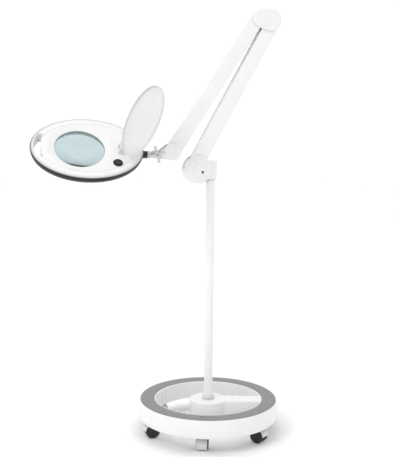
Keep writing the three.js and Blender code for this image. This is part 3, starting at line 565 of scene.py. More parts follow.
def add_camera():
    yaw = math.radians(CAMERA_YAW)
    pitch = math.radians(CAMERA_PITCH)
    roll = math.radians(CAMERA_ROLL)
    right = Vector((math.cos(yaw), math.sin(yaw), 0))
    ahead = Vector((-math.sin(yaw) * math.cos(pitch), math.cos(yaw) * math.cos(pitch),
                    math.sin(pitch)))
    above = right.cross(ahead)
    x = right * math.cos(roll) + above * math.sin(roll)
    y = above * math.cos(roll) - right * math.sin(roll)
    camera = bpy.data.objects.new("camera", bpy.data.cameras.new("camera"))
    camera.data.lens = CAMERA_LENS
    camera.data.sensor_width = CAMERA_SENSOR
    camera.data.clip_end = 60
    turn = Matrix((x, y, -ahead)).transposed().to_4x4()
    camera.matrix_world = Matrix.Translation(FLOOR_CENTRE + Vector(CAMERA_AWAY)) @ turn
    bpy.context.scene.collection.objects.link(camera)
    bpy.context.scene.camera = camera


def add_light(name, place, target, size, power):
    lamp = bpy.data.lights.new(name, "AREA")
    lamp.shape = "DISK"
    lamp.size = size
    lamp.energy = power
    obj = bpy.data.objects.new(name, lamp)
    aim = Vector(target) - Vector(place)
    obj.matrix_world = Matrix.Translation(place) @ aim.to_track_quat("-Z", "Y").to_matrix().to_4x4()
    bpy.context.scene.collection.objects.link(obj)


def add_studio():
    bpy.context.scene.view_settings.view_transform = "Standard"
    add_light("key", (-1.5, -1.6, 2.6), (0, 0, 0.6), 1.0, 18)
    add_light("front_fill", (-0.9, -2.6, 1.0), (0, 0, 0.7), 1.4, 3)
    world = bpy.data.worlds.new("studio")
    world.use_nodes = True
    tree = world.node_tree
    background = tree.nodes["Background"]
    background.inputs["Color"].default_value = (1, 1, 1, 1)
    parts = tree.nodes.new("ShaderNodeSeparateXYZ")
    tree.links.new(tree.nodes.new("ShaderNodeTexCoord").outputs["Generated"],
                   parts.inputs["Vector"])
    fade = spread(tree, parts.outputs["Y"], WORLD_FRONT, WORLD_BACK, -0.9, 0.3)
    fade.node.interpolation_type = "SMOOTHSTEP"
    tree.links.new(fade, background.inputs["Strength"])
    bpy.context.scene.world = world
    floor_material, tree, shader = node_material("studio_floor")
    mottle(tree, shader, (0.99, 0.99, 0.99), 0.002, 2.0)
    shader.inputs["Roughness"].default_value = 0.9
    mesh = bpy.data.meshes.new("studio_floor")
    corners = [(FLOOR_REACH * x, FLOOR_REACH * y, 0) for x, y in ((-1, -1), (1, -1), (1, 1), (-1, 1))]
    mesh.from_pydata(corners, [], [(0, 1, 2, 3)])
    mesh.materials.append(floor_material)
    floor = bpy.data.objects.new("studio_floor", mesh)
    bpy.context.scene.collection.objects.link(floor)


# ---------------------------------------------------------------- base

RING_OUTER = 175
RING_INNER = 131
RING_LOW = 37
RING_TOP = 80
MAT_OUTER = 168.5
MAT_INNER = 134.3
HUB_TOP = 78
SEAM_AT = -95.0              # degrees round the ring
SEAM_GAP = 0.36


def hub_outline(radius, half_width, fillet, reach):
    """The hub disc with one spoke along +X and fillets between them."""
    away = half_width + fillet
    centre = math.sqrt((radius + fillet) ** 2 - away ** 2)
    turn = math.degrees(math.atan2(away, centre))
    outline = [(reach, -half_width), (reach, half_width)]
    outline += arc((centre, away), fillet, -90, turn - 180, 14)
    outline += arc((0, 0), radius, turn, 360 - turn, 90)
    outline += arc((centre, -away), fillet, 180 - turn, 90, 14)
    return outline


def add_base():
    section = [
        (RING_INNER, RING_LOW), (134.2, RING_LOW), (134.2, 74.6), (167.2, 74.6), (171.8, 55),
        (168.8, RING_LOW), (172, RING_LOW), (174.6, 46), (RING_OUTER, 56), (174.2, 67),
        (172.6, 75.5), (170.2, RING_TOP + 0.2), (168.8, RING_TOP), (168.8, 77.8), (134, 77.8),
        (134, RING_TOP), (RING_INNER + 1, RING_TOP), (RING_INNER, RING_TOP - 1.4),
    ]
    radii = [0.6, 0.6, 2, 2, 4, 0.6, 0.8, 6, 6, 6, 4, 0.7, 0.5, 0.4, 0.4, 0.5, 0.8, 1.2]
    stand_for("base_housing", hoop(section, radii, 192), BASE, name="ring_housing")

    outer = hub_outline(46, 23.5, 14, RING_INNER + 0.6)
    inner = hub_outline(42.8, 20.3, 17.2, RING_INNER - 2)
    rings = stacked(inner, [(0, 74.8), (0, RING_LOW)])
    rings += stacked(outer, [(0.4, RING_LOW), (0, RING_LOW + 0.6)] + top_rim(3.0, HUB_TOP, 4))
    beside("base_housing", "hub_and_spoke", loft(rings), BASE)

    sockets = Shape()
    for place in CASTER_PLACES:
        ring = [(4.4, RING_LOW), (9, RING_LOW), (9, 74.5), (4.4, 74.5)]
        socket = hoop(ring, 0.5, 32)
        for rib in range(4):
            fin = slab((8.6, 16), (-0.9, 0.9), (RING_LOW + 8, 74.4), 0.3)
            socket += fin.turned(45 + 90 * rib, "Z")
        sockets += socket.shifted(place.x, place.y)
    beside("base_housing", "caster_sockets", sockets, BASE)

    mat = [(MAT_INNER, 78.1), (MAT_OUTER, 78.1), (MAT_OUTER, 80.6), (MAT_INNER, 80.6)]
    sheet = hoop(mat, 0.8, 240, 360 - SEAM_GAP, SEAM_AT + SEAM_GAP / 2)
    stand_for("base_mat", sheet, BASE, name="ring_mat")

    weight = [(138, 46), (166, 46), (166, 62), (164, 74.3), (138, 74.3)]
    ballast = stand_for("base_ballast", hoop(weight, 2, 96), BASE, name="ballast_ring")
    for place in CASTER_PLACES:
        carve(ballast, bar(10.6, (place.x, place.y, 40), (place.x, place.y, 80)), BASE)


def add_pole():
    tube = [(5.3, 78.3), (10.5, 78.3), (10.5, 624), (9, 624), (9, 94), (5.3, 94)]
    stand_for("pole", hoop(tube, 0.5, 72), BASE, name="pole_tube")
    collar = [(10.8, 78.3), (15, 78.3), (15, 82.6), (13.2, 85.8), (10.8, 85.8)]
    stand_for("pole_collar", hoop(collar, [0.3, 0.6, 1.5, 1, 0.3], 72), BASE)
    bush = [(7.3, 584), (8.7, 584), (8.7, 624.3), (10.9, 624.3), (10.9, 626.2), (7.3, 626.2)]
    stand_for("pole_bush", hoop(bush, 0.3, 64), BASE, slot="light_grey_plastic")


# ---------------------------------------------------------------- casters

AXLE_HALF = 13
WHEEL_INSIDE = 5             # from the middle of the hood to where a wheel's profile starts from


def add_caster(index):
    name = f"caster_{index}"
    stem = joint_place(f"{name}_swivel")
    axle = joint_place(f"{name}_left_roll")
    back = Vector((axle.x - stem.x, axle.y - stem.y, 0))
    trail = back.length / MM
    ahead = -back.normalized()
    matrix = placed(Vector((stem.x, stem.y, 0)), ahead, UP.cross(ahead), UP)
    height = axle.z / MM

    crown = [(17.4, -12.6), (18, -12.6), (18.7, -11), (18.8, -6), (18.8, 6), (18.7, 11),
             (18, 12.6), (17.4, 12.6), (17.3, 6), (17.3, -6)]
    fender = hoop(crown, 1.2, 56, 217, -42).turned(90, "X").shifted(-trail, 0, height)
    web = arc((-trail, height), 17.9, -42, 175, 28)
    web += [(-trail - 5, height - 4), (-trail + 3, height - 6)]
    middle = plate(web, -4.4, 4.4, 0.8).turned(90, "X")
    ribs = Shape()
    for across in (-6.4, 6.4):
        line = arc((-trail, height), 18.75, -36, 160, 32)
        ribs += tube_along([(x, across, z) for x, z in line], 0.6)
    top = lathe(rounded([(0, 33), (6.3, 33), (6.3, 36.3), (4, 36.3), (4, 60), (0, 60)],
                        [0, 0.8, 0.6, 0.3, 0.6, 0]), 40)
    pin = bar(2.4, (-trail, -AXLE_HALF, height), (-trail, AXLE_HALF, height), 20)
    stand_for(f"{name}_hood", fender + middle + ribs + top + pin, matrix)

    tread = [(2.8, 0.2), (13, 0.2), (15.6, 0.2), (16, 1.4), (16, 7.4), (15.2, 8.8), (12.6, 9),
             (12, 8.2), (8, 7.6), (4.5, 8.4), (2.8, 8.4)]
    cap = [(0, 8.3), (2.8, 8.3), (2.8, 7.2), (11.6, 7.2), (11.4, 8.1), (7.6, 7.9), (4.8, 8.9),
           (0, 8.9)]
    wheel = hoop(tread, 0.7, 64)
    hub = lathe(rounded(cap, [0, 0, 0, 0.2, 0.3, 1, 0.6, 0]), 48)
    for side, way in (("left", -1), ("right", 1)):
        place = Matrix.Translation((-trail, way * WHEEL_INSIDE, height))
        turn = Matrix.Rotation(math.radians(-90 * way), 4, "X")
        stand_for(f"{name}_wheel_{side}", wheel.moved(place @ turn), matrix)
        beside(f"{name}_wheel_{side}", f"{name}_hub_{side}", hub.moved(place @ turn), matrix,
               BLACK)


# ---------------------------------------------------------------- shoulder

POST_RADIUS = 15.5
POST_FLAT = 12.6             # half the width over the post's flats


def add_shoulder():
    cover = in_plane(sum(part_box("shoulder_cover_front"), Vector()) / 2)
    turns = [math.radians(a) for a in range(0, 360, 4)]
    flattened = [(POST_RADIUS * math.cos(a),
                  max(-POST_FLAT, min(POST_FLAT, POST_RADIUS * math.sin(a)))) for a in turns]
    turn = Matrix.Rotation(math.atan2(ALONG.y, ALONG.x), 4, "Z")
    post = plate(flattened, 626.6, 672, 1.2)
    bracket = stand_for("swivel_bracket", post, BASE @ turn, name="bracket_post")
    room = slab((-10, 90), (-12.6, 50), (-20, 20), 1.0)
    carve(bracket, room, arm_frame(SHOULDER, ELBOW_LOWER))
    beside("swivel_bracket", "bracket_spigot", rod(7, 588, 627, 48, 1), BASE)
    lug = plate(pair_outline(SHOULDER, 9, SHOULDER_LINK, 6.2), -9, 9, 0.8)
    lug += plate(pair_outline(SHOULDER, 8.8, (-4, SHOULDER.y), 10.8), -8.9, 8.9, 0.8)
    beside("swivel_bracket", "bracket_lug", lug, PLANE)

    dome = [(0, 22.8), (20.5, 22.8), (31.8, 17), (31.8, 13.4), (34.3, 13.4), (34.3, 16.4),
            (21.5, 25.2), (14.2, 25.2), (13.2, 27.6), (0, 29.2)]
    shell = lathe(rounded(dome, [0, 2, 2, 0.3, 0.4, 2.6, 2.2, 0.8, 2.4, 0]), 128)
    front = stand_for("shoulder_cover_front", shell, at_point(cover), name="shoulder_disc_front")
    screw_place = (cover.x + 8, cover.y - 7)
    carve(front, bar(4.2, (*screw_place, 23), (*screw_place, 34)), PLANE)
    screw = lathe(rounded([(0, 24.4), (2.4, 24.4), (2.4, 25.4), (0, 25.9)], 0.4), 32)
    # The screw head sits down in its hole, and it is dark to paint the shade in the hole.
    beside("shoulder_cover_front", "cover_screw_painted_shade", screw, at_point(screw_place), DARK)
    rim = [(32.6, -13.2), (34.2, -13.2), (34.2, 13.2), (32.6, 13.2)]
    beside("shoulder_cover_front", "shoulder_wall", hoop(rim, 0.3, 60, 122, 178), at_point(cover))
    back_centre = in_plane(sum(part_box("shoulder_cover_back"), Vector()) / 2)
    stand_for("shoulder_cover_back", shell.moved(MIRROR), at_point(back_centre),
              name="shoulder_disc_back")


# ---------------------------------------------------------------- arms

ARM_HALF_WIDTH = 17
ARM_MIDDLE = 5.5
CHANNEL_DEPTH = 13
CHANNEL_WALL = 1.5
LINK_DEPTH = 10.9
LINK_WALL = 1.3
LINK_WEB = 9.5
SPRING_TURNS = 30
SPRING_STEPS = 16            # points in a turn
SPRING_RADIUS = 5.2
SPRING_START = 24
SPRING_LENGTH = 166
SPRING_MIDDLE = -2


def swept_channel(start, end, edge_y, web_y, depth, wall, corner):
    """A folded U-section along X, with its web at web_y and its open edges at edge_y."""
    way = 1 if edge_y > web_y else -1
    section = [
        (edge_y, depth), (web_y, depth), (web_y, -depth), (edge_y, -depth),
        (edge_y, -depth + wall), (web_y + way * wall, -depth + wall),
        (web_y + way * wall, depth - wall), (edge_y, depth - wall),
    ]
    radii = [0.5, corner, corner, 0.5, 0.5, corner - wall / 2, corner - wall / 2, 0.5]
    line = rounded(section, radii, closed=True)
    return loft([[(x, y, z) for y, z in line] for x in (start, end)])


def spring_line():
    """The helix of a spring along its arm."""
    count = SPRING_TURNS * SPRING_STEPS
    points = []
    for i in range(count + 1):
        a = 2 * math.pi * i / SPRING_STEPS
        points.append((SPRING_START + SPRING_LENGTH * i / count,
                       SPRING_MIDDLE + SPRING_RADIUS * math.sin(a), SPRING_RADIUS * math.cos(a)))
    return points


def add_arm(side, start, end, link_start, web_start, web_end):
    length = (end - start).length
    matrix = arm_frame(start, end)
    cheek = pair_outline((0, ARM_MIDDLE), ARM_HALF_WIDTH, (length, ARM_MIDDLE), ARM_HALF_WIDTH, 28)
    inside = CHANNEL_DEPTH - CHANNEL_WALL
    channel = plate(cheek, inside, CHANNEL_DEPTH, 0.35)
    channel += plate(cheek, -CHANNEL_DEPTH, -inside, 0.35)
    channel += swept_channel(web_start, web_end, ARM_MIDDLE + ARM_HALF_WIDTH - 0.02,
                             ARM_MIDDLE - ARM_HALF_WIDTH, CHANNEL_DEPTH + 0.02, CHANNEL_WALL + 0.04,
                             3.2)
    stand_for(f"{side}_arm_channel", channel, matrix)
    if side == "lower":
        rim = [(26.2, -12.6), (27.4, -12.6), (27.4, 12.6), (26.2, 12.6)]
        beside("lower_arm_channel", "lower_arm_end_cap", hoop(rim, 0.3, 60, 134, 66), matrix)
    stand_for(f"{side}_arm_spring", tube_along(spring_line(), 0.85), matrix)

    link_matrix = arm_frame(link_start, link_start + (end - start))
    ends = pair_outline((0, 0), 5, (length, 0), 5, 16)
    inner = LINK_DEPTH - LINK_WALL
    link = plate(ends, inner, LINK_DEPTH, 0.3) + plate(ends, -LINK_DEPTH, -inner, 0.3)
    link += swept_channel(15, length - 15, 0, LINK_WEB, LINK_DEPTH + 0.02, LINK_WALL + 0.04, 1.4)
    for x in (0, length):
        link += bar(2.4, (x, 0, -LINK_DEPTH - 0.3), (x, 0, LINK_DEPTH + 0.3), 24, 0.4)
    stand_for(f"{side}_arm_link", link, link_matrix, slot="white_paint")


def cover_shape(first, r1, second, r2):
    """A lid over a joint: flat face, broad rounded rim, hollow towards the arm."""
    rim = 3.4
    levels = [(3.2, 17.0), (3.0, 13.4), (0.3, 13.4), (0, 13.8)] + top_rim(rim, 19.2, 6)
    levels += [(rim + 3, 19.5), (rim + 7, 19.6)]
    return loft(stacked(pair_outline(first, r1, second, r2, 40), levels))


def add_covers(node, first, r1, second, r2):
    shape = cover_shape(first, r1, second, r2)
    stand_for(f"{node}_front", shape, PLANE)
    stand_for(f"{node}_back", shape.moved(MIRROR), PLANE)


def near(point, x, y):
    """A place in the arm plane, given from a pivot."""
    return (point.x + x, point.y + y)


def add_elbow():
    lower_link = ELBOW_LOWER + (SHOULDER_LINK - SHOULDER)
    block = plate(pair_outline(ELBOW_LOWER, 8.4, lower_link, 6.1), -9, 9, 0.8)
    block += plate(pair_outline(ELBOW_UPPER, 8.4, ELBOW_LINK, 6.1), -8.98, 8.98, 0.8)
    block += plate(pair_outline(ELBOW_LOWER, 8.4, ELBOW_UPPER, 8.4), -8.96, 8.96, 0.8)
    block += plate(pair_outline(lower_link, 6.1, ELBOW_LINK, 6.1), -8.94, 8.94, 0.8)
    stand_for("elbow_block", block, PLANE)
    add_covers("elbow_cover", near(ELBOW_UPPER, 11.4, -6), 22.5, near(ELBOW_LOWER, -12.5, 6.4), 26.5)


FORK_NOSE = (20, 2.7)        # where the fork leaves the tip, from the tilt pivot
FORK_SLOT = 6.3
FORK_DEPTH = 10


def add_tip():
    link = TIP + (ELBOW_LINK - ELBOW_UPPER)
    nose = near(TILT, *FORK_NOSE)
    body = plate(pair_outline(TIP, 8.9, link, 5.9), -9, 9, 0.8)
    body += plate(pair_outline(TIP, 8.9, nose, 8.4), -8.98, 8.98, 0.8)
    for low, high in ((-FORK_DEPTH, -FORK_SLOT), (FORK_SLOT, FORK_DEPTH)):
        body += plate(pair_outline(nose, 8, TILT, 9), low, high, 0.8)
    body += plate(pair_outline(nose, 8, near(TILT, 18.5, 2.5), 8), -9.9, 9.9, 0.8)
    stand_for("tip_fork", body, PLANE)
    add_covers("tip_cover", near(TIP, 1.6, -3.6), 20.2, near(TIP, -16.4, -9.1), 13)


def add_clamp():
    hub = [(3.3, 0), (8, 0), (8, 1.4), (6.6, 5), (6.4, 18), (5.4, 20.5), (3.6, 20.5), (3.4, 17)]
    knob = hoop(hub, 0.8, 64).shifted(z=FORK_DEPTH + 0.6)
    handle = [(0, 0), (3.1, 3), (2.9, 12), (3.4, 17), (3.2, 19.6), (1.6, 20.6), (0, 20.8)]
    arm = lathe(rounded(handle, [0, 1, 2, 1.5, 1, 0.8, 0]), 32).turned(90, "Y")
    for quarter in range(4):
        knob += arm.turned(15 + 90 * quarter, "Z").shifted(z=26.5)
    stand_for("clamp_knob", knob, at_point(TILT))
    bolt = rod(3, -12, 27, 32, 0.4) + rod(6.2, -15, -10.4, 6)
    stand_for("clamp_bolt", bolt, at_point(TILT))


# ---------------------------------------------------------------- neck and head

NECK_DROP = 1


def add_neck():
    eye = bar(9, (0, -6, 0), (0, 6, 0), 64, 0.8)
    shank = slab((0, 19), (-6, 6), (-NECK_DROP - 7, 5), 1.2)
    shoulder = bar(8.8, (12, 0, -NECK_DROP), (19, 0, -NECK_DROP), 64, 1.0)
    rod = bar(6, (15, 0, -NECK_DROP), (59, 0, -NECK_DROP), 48)
    stand_for("neck", eye + shank + shoulder + rod, NECK)


HALF_LENGTH = 131
HALF_WIDTH = 97.4
HEAD_MIDDLE = -18
NECK_END = HEAD_MIDDLE - HALF_LENGTH
NECK_DEPTH = 18
UNDERSIDE = -27
LENS_OPENING = 58
LENS_RADIUS = 61.5
HEAD_STEPS = 180


def oval(inset, z):
    ring = []
    for i in range(HEAD_STEPS):
        a = 2 * math.pi * i / HEAD_STEPS
        ring.append((HEAD_MIDDLE + (HALF_LENGTH - inset) * math.cos(a),
                     (HALF_WIDTH - inset) * math.sin(a), z))
    return ring


def circle(radius, z):
    return [(radius * math.cos(2 * math.pi * i / HEAD_STEPS),
             radius * math.sin(2 * math.pi * i / HEAD_STEPS), z) for i in range(HEAD_STEPS)]


def between(a, b, share):
    """A ring part of the way from one ring to another."""
    return [tuple(p + (q - p) * share for p, q in zip(u, v)) for u, v in zip(a, b)]


SLOT_NEAR = 88
SLOT_HALF_ANGLE = 25
SLOT_MIDDLE = -4
SLOT_RIM = 8                 # from the oval to the slot's far edge
SLOT_STEPS = 28


def slot_outline():
    """The crescent of the handle slot: its far edge follows the oval, its near edge the lens."""
    first = SLOT_MIDDLE - SLOT_HALF_ANGLE
    turns = [math.radians(first + 2 * SLOT_HALF_ANGLE * i / SLOT_STEPS)
             for i in range(SLOT_STEPS + 1)]
    length = HALF_LENGTH - SLOT_RIM
    width = HALF_WIDTH - SLOT_RIM
    far = [(HEAD_MIDDLE + length * math.cos(t), width * math.sin(t)) for t in turns]
    close = [(SLOT_NEAR * math.cos(t * 0.78), width * math.sin(t) * 0.98)
             for t in reversed(turns)]
    outline = far + close
    corners = (0, SLOT_STEPS, SLOT_STEPS + 1, len(outline) - 1)
    return rounded(outline, [3 if i in corners else 0 for i in range(len(outline))], closed=True)


def slot_cutter(low, high, flare):
    """The slot as a solid, flaring out over its top rim by a quarter round."""
    levels = [(0, low), (0, high - flare)]
    for a in quarter_turn(4)[1:]:
        levels.append((-flare * (1 - math.cos(a)), high - flare + flare * math.sin(a)))
    levels.append((-flare, high + 6))
    return loft(stacked(slot_outline(), levels))


def measure_along(tree, direction, start, end, clamp=True):
    """How far a point is along a direction in the row frame: 0 at start, 1 at end, in metres."""
    place = tree.nodes.new("ShaderNodeTexCoord").outputs["Object"]
    along = tree.nodes.new("ShaderNodeVectorMath")
    along.operation = "DOT_PRODUCT"
    along.inputs[1].default_value = direction
    tree.links.new(place, along.inputs[0])
    return spread(tree, along.outputs["Value"], 0.0, 1.0, start, end, clamp)


PAINTED_SHADE_TOP = 4.6               # level of the face, over the lens seat
PAINTED_SHADE_EDGE = (0.8, 0.86)      # share of the oval, squared, over which the painted shade sets in
PAINTED_SHADE_STOPS = (               # level over the lens seat, and grey of the painted shade there
    (4.1, 0.78), (3.3, 0.66), (2.5, 0.42), (1.7, 0.1), (1.0, 0.008),
    (-10.0, 0.008), (-14.0, 0.14), (-17.0, 0.5),
)


def moulding_with_painted_shade():
    """The white moulding with painted shade: a dark band round the wall, by depth under the head's face, greying
    over the rounded rim and lighter again towards the underside.
    """
    material, tree, shader = node_material("white_moulding_painted_shade")
    shader.inputs["Specular IOR Level"].default_value = 0.3
    seat = HEAD.to_translation()
    level = seat.dot(HEAD_Z)
    down = measure_along(tree, HEAD_Z, level + PAINTED_SHADE_TOP * MM, level + UNDERSIDE * MM)
    squares = []
    for axis, half, middle in ((HEAD_X, HALF_LENGTH, HEAD_MIDDLE), (HEAD_Y, HALF_WIDTH, 0)):
        centre = seat.dot(axis) + middle * MM
        share = measure_along(tree, axis, centre, centre + half * MM, clamp=False)
        squares.append(combine(tree, "MULTIPLY", share, share))
    # The painted shade covers only the outer part of the oval, so the dish round the lens stays plain.
    rim = spread(tree, combine(tree, "ADD", *squares), 0.0, 1.0, *PAINTED_SHADE_EDGE)
    ramp = tree.nodes.new("ShaderNodeValToRGB")
    stops = ramp.color_ramp.elements
    stops[0].position = 0.005
    stops[0].color = (*MOULDING, 1)
    stops[1].position = 1.0
    stops[1].color = (0.72, 0.72, 0.72, 1)
    # These stops paint shade: grey over the rounded rim, near black down the wall, lighter again towards the
    # underside.
    for height, grey in PAINTED_SHADE_STOPS:
        stops.new((PAINTED_SHADE_TOP - height) / (PAINTED_SHADE_TOP - UNDERSIDE)).color = (grey, grey, grey, 1)
    tree.links.new(down, ramp.inputs["Fac"])
    mix = tree.nodes.new("ShaderNodeMix")
    mix.data_type = "RGBA"
    factor, plain, painted_shade_colour = (mix.inputs[i] for i in (0, 6, 7))   # the sockets used for colours
    tree.links.new(rim, factor)
    plain.default_value = (*MOULDING, 1)
    tree.links.new(ramp.outputs["Color"], painted_shade_colour)
    tree.links.new(mix.outputs[2], shader.inputs["Base Color"])
    tree.links.new(spread(tree, noise(tree, 60.0), 0.28, 0.38), shader.inputs["Roughness"])
    bump(tree, shader, noise(tree, 1400.0, 2.0), 0.00003)
    return material


def add_head_shells():
    face = [(2.6, -1), (0.3, -1), (0, -0.7), (0.05, 0), (0.6, 1.1), (1.8, 2.1), (3.8, 3.0),
            (7, 3.8), (11, 4.3), (16, 4.5), (19.2, 4.55), (19.5, 4.2), (19.7, 3.5), (20.6, 3.5),
            (20.8, 4.2), (21.1, 4.6)]
    top = [oval(inset, z) for inset, z in face]
    top += [between(oval(21.1, 4.6), circle(75, 4.85), share) for share in (0.25, 0.5, 0.75, 1)]
    dish = [(73.6, 4.7), (72.4, 4.3), (68, 2.8), (62, 0.75), (59.2, -0.05), (58.3, -0.5),
            (LENS_OPENING, -1.1), (LENS_OPENING, -1.8), (58.4, -2.0), (61.8, -2.0),
            (61.8, -20.1), (62.1, -20.4), (64.5, -20.4), (64.8, -20.1), (64.8, 1.6)]
    top += [circle(radius, z) for radius, z in dish]
    top += [between(circle(64.8, 1.6), oval(16, 2.2), 0.5)]
    top += [oval(inset, z) for inset, z in ((16, 2.2), (4.4, 1.2), (2.8, -0.4))]
    # Both head shells take the moulding with the painted shade band.
    painted_shade_moulding = moulding_with_painted_shade()
    shell = stand_for("head_top_shell", loft(top, closed=True), HEAD, painted_shade_moulding, name="head_top",
                      sharp=50)
    carve(shell, slot_cutter(-40, 4.5, 1.6), HEAD, 50)
    carve(shell, bar(10.3, (SWITCH.x, SWITCH.y, -12), (SWITCH.x, SWITCH.y, 14), 64), HEAD, 50)

    outer = [(0.6, -1.3), (0.7, -3), (1.0, -6), (1.6, -9), (2.6, -12), (4.2, -15), (6.6, -18),
             (9.8, -21), (13.4, -23.6), (17.2, -25.5), (20.4, -26.6), (22.6, UNDERSIDE)]
    rings = [circle(70, -24.2), circle(70, UNDERSIDE + 0.4), circle(70.4, UNDERSIDE)]
    rings += [oval(inset, z) for inset, z in reversed(outer)]
    rings += [oval(3.6, -1.3)]
    inner = [(3.8, -3), (4.6, -8), (6.2, -12), (9.4, -16), (13.8, -19.6), (19, -22.4), (24, -24)]
    rings += [oval(inset, z) for inset, z in inner]
    under = stand_for("head_bottom_shell", loft(rings, closed=True), HEAD, painted_shade_moulding,
                      name="head_bottom", sharp=50)
    carve(under, slot_cutter(-40, 10, 0.5), HEAD, 50)
    carve(under, bar(8.4, (NECK_END - 8, 0, -NECK_DEPTH), (-121, 0, -NECK_DEPTH), 64), HEAD, 50)

    lining = [(-0.1, UNDERSIDE + 3), (-0.1, 3.2), (-1.6, 4.3), (-2.4, 3.0), (-2.4, UNDERSIDE + 3)]
    beside("head_top_shell", "slot_liner", loft(stacked(slot_outline(), lining), closed=True), HEAD)

    socket = [(6.4, NECK_END + 6), (9.6, NECK_END + 6), (9.6, -116), (6.4, -116)]
    boss = hoop(socket, 0.6, 64).turned(90, "Y")
    beside("head_bottom_shell", "neck_socket", boss.shifted(z=-NECK_DEPTH), HEAD)
    collar = [(6.3, 0), (8.8, 0), (8.8, 3.4), (8.2, 4), (8.8, 4.6), (8.8, 8), (8.2, 8.6),
              (8.8, 9.2), (8.8, 11), (8, 12.6), (6.3, 12.6)]
    ring = hoop(collar, 0.5, 72).turned(90, "Y")
    stand_for("neck_collar", ring.shifted(x=NECK_END - 11, z=-NECK_DEPTH), HEAD)


LENS_CROWN = 4.2
LENS_BELLY = 7.5
LENS_EDGE_TOP = -2.3
LENS_EDGE_LOW = -5.9
LENS_STEPS = 20              # from the axis to the edge
LED_COUNT = 48


def add_lens():
    shares = [i / LENS_STEPS for i in range(LENS_STEPS + 1)]
    belly = [(LENS_RADIUS * s, LENS_EDGE_LOW - LENS_BELLY * (1 - s ** 2)) for s in shares]
    crown = [(LENS_RADIUS * s, LENS_EDGE_TOP + LENS_CROWN * (1 - s ** 2)) for s in shares]
    stand_for("lens", lathe(belly + crown[::-1], 160), HEAD, name="lens_disc", sharp=60)
    ring = [(57, -11), (61.5, -11), (61.5, -6.9), (59, -6.9), (57, -8.6)]
    stand_for("lens_ring", hoop(ring, 0.4, 128), HEAD, slot="light_grey_plastic")
    board = [(65.1, -16), (81.5, -16), (81.5, -14.3), (65.1, -14.3)]
    stand_for("led_board", hoop(board, 0.2, 128), HEAD)
    leds = Shape()
    domes = Shape()
    for index in range(LED_COUNT):
        turn = 360 * index / LED_COUNT
        leds += slab((69, 72.6), (-1.4, 1.4), (-17.1, -15.9), 0.15).turned(turn, "Z")
        domes += slab((69.5, 72.1), (-1, 1), (-17.3, -17), 0.12).turned(turn, "Z")
    beside("led_board", "led_packages", leds, HEAD, WHITE)
    beside("led_board", "led_phosphor", domes, HEAD, LED_YELLOW)
    diffuser = [(60, -23.7), (72.5, -23.7), (72.5, -21.5), (60, -21.5)]
    stand_for("led_diffuser", hoop(diffuser, 0.5, 128), HEAD)


def add_switch():
    bezel = [(0, -11), (10, -11), (10, 5.2), (11.3, 5.2), (11.3, 6), (10.6, 6.8), (8.4, 7),
             (8.2, 4), (8.2, -8.6), (0, -8.6)]
    place = HEAD @ Matrix.Translation((SWITCH.x, SWITCH.y, 0))
    stand_for("switch_bezel", lathe(rounded(bezel, [0, 0.6, 0, 0.4, 0.5, 0.6, 0.6, 0.3, 0.3, 0]),
                                    72), place)
    face = [(-6.6, -3), (6.6, -3), (7.2, 3.2), (5.2, 2.9), (0, 1.7), (-5.2, 2.9), (-7.2, 3.2)]
    rocker = plate(rounded(face, 0.5, closed=True), -6.4, 6.4, 0.8).turned(90, "X")
    rock = Matrix.Rotation(math.radians(-10), 4, "Y")
    stand_for("power_switch", rocker, place @ Matrix.Translation((0, 0, 5.2)) @ rock)


LID_RADIUS = 84
LID_REACH = 94
LID_OPEN = 114
EAR_FOOT = -12.6         # seat of the hinge ears, under the hinge pin


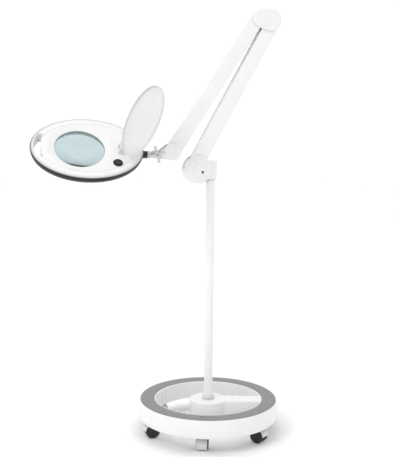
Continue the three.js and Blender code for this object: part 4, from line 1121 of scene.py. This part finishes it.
def add_lid():
    pivot = joint_place("lid_hinge")
    side = joint_axis("lid_hinge")
    flat = HEAD_Z.copy()
    open_angle = math.radians(LID_OPEN)
    closed_way = side.cross(flat)
    ahead = closed_way * math.cos(open_angle) + flat * math.sin(open_angle)
    matrix = placed(pivot, ahead, side, ahead.cross(side))
    pan = [(0, -1.1), (LID_RADIUS - 3, -1.1), (LID_RADIUS - 2, -2.2), (LID_RADIUS - 1.9, -6),
           (LID_RADIUS, -6), (LID_RADIUS, -0.6), (LID_RADIUS - 1.4, 1.0), (LID_RADIUS - 6, 1.4),
           (0, 1.6)]
    radii = [0, 1.2, 1.0, 0.4, 0.5, 1.6, 1.2, 3, 0]
    lid = lathe(rounded(pan, radii), 192).shifted(x=LID_REACH)
    lid += slab((1, LID_REACH - LID_RADIUS + 3), (-7, 7), (-1.1, 1.1), 0.5)
    lid += bar(3.3, (0, -7.7, 0), (0, 7.7, 0), 48)
    stand_for("lens_cover", lid, matrix, sharp=50)
    stand_for("lid_hinge_pin", bar(1.5, (0, -12.3, 0), (0, 12.3, 0), 24), matrix)

    seat = placed(pivot, closed_way, side, flat)
    ears = Shape()
    for low, high in ((-12, -8), (8, 12)):
        line = [(-7, EAR_FOOT), (7, EAR_FOOT)] + arc((0, 0), 3.4, 0, 180, 12)
        ears += plate(line, low, high, 0.5).turned(90, "X")
    beside("head_top_shell", "lid_hinge_ears", ears, seat, LIGHT_GREY)


# ---------------------------------------------------------------- fasteners and inlet

INLET = (2.5, 633, -4.3)     # in the arm plane; the socket points to the back


def add_fasteners():
    bolt = rod(4, -14, 14) + rod(6, -16, -13.3, 6) + rod(6, 13.3, 16, 6)
    for node, place in (("shoulder_bolt", SHOULDER), ("elbow_lower_bolt", ELBOW_LOWER),
                        ("elbow_upper_bolt", ELBOW_UPPER), ("tip_bolt", TIP)):
        stand_for(node, bolt, at_point(place))
    stand_for("pole_bolt", rod(5, 69.4, 92) + rod(8, 63.4, 70.1, 6), BASE)
    steel_plate = stand_for("hub_plate", plate(hub_outline(40, 17, 14, 127), 70.4, 74.5, 0.4), BASE)
    carve(steel_plate, bar(5.3, (0, 0, 60), (0, 0, 80)), BASE)
    socket = [(0, 0), (4, 0), (4, 8.9), (5.6, 8.9), (5.6, 13), (2.9, 13), (2.9, 4), (0, 4)]
    inlet = lathe(rounded(socket, 0.3), 64).moved(MIRROR)
    stand_for("power_inlet", inlet, PLANE @ Matrix.Translation(INLET))


# ---------------------------------------------------------------- the scene

add_camera()
add_studio()
add_base()
add_pole()
for caster_number in range(1, CASTER_COUNT + 1):
    add_caster(caster_number)
add_shoulder()
add_arm("lower", SHOULDER, ELBOW_LOWER, SHOULDER_LINK, 19, (ELBOW_LOWER - SHOULDER).length + 8)
add_arm("upper", ELBOW_UPPER, TIP, ELBOW_LINK, -8, (TIP - ELBOW_UPPER).length - 5)
add_elbow()
add_tip()
add_clamp()
add_neck()
add_head_shells()
add_lens()
add_switch()
add_lid()
add_fasteners()
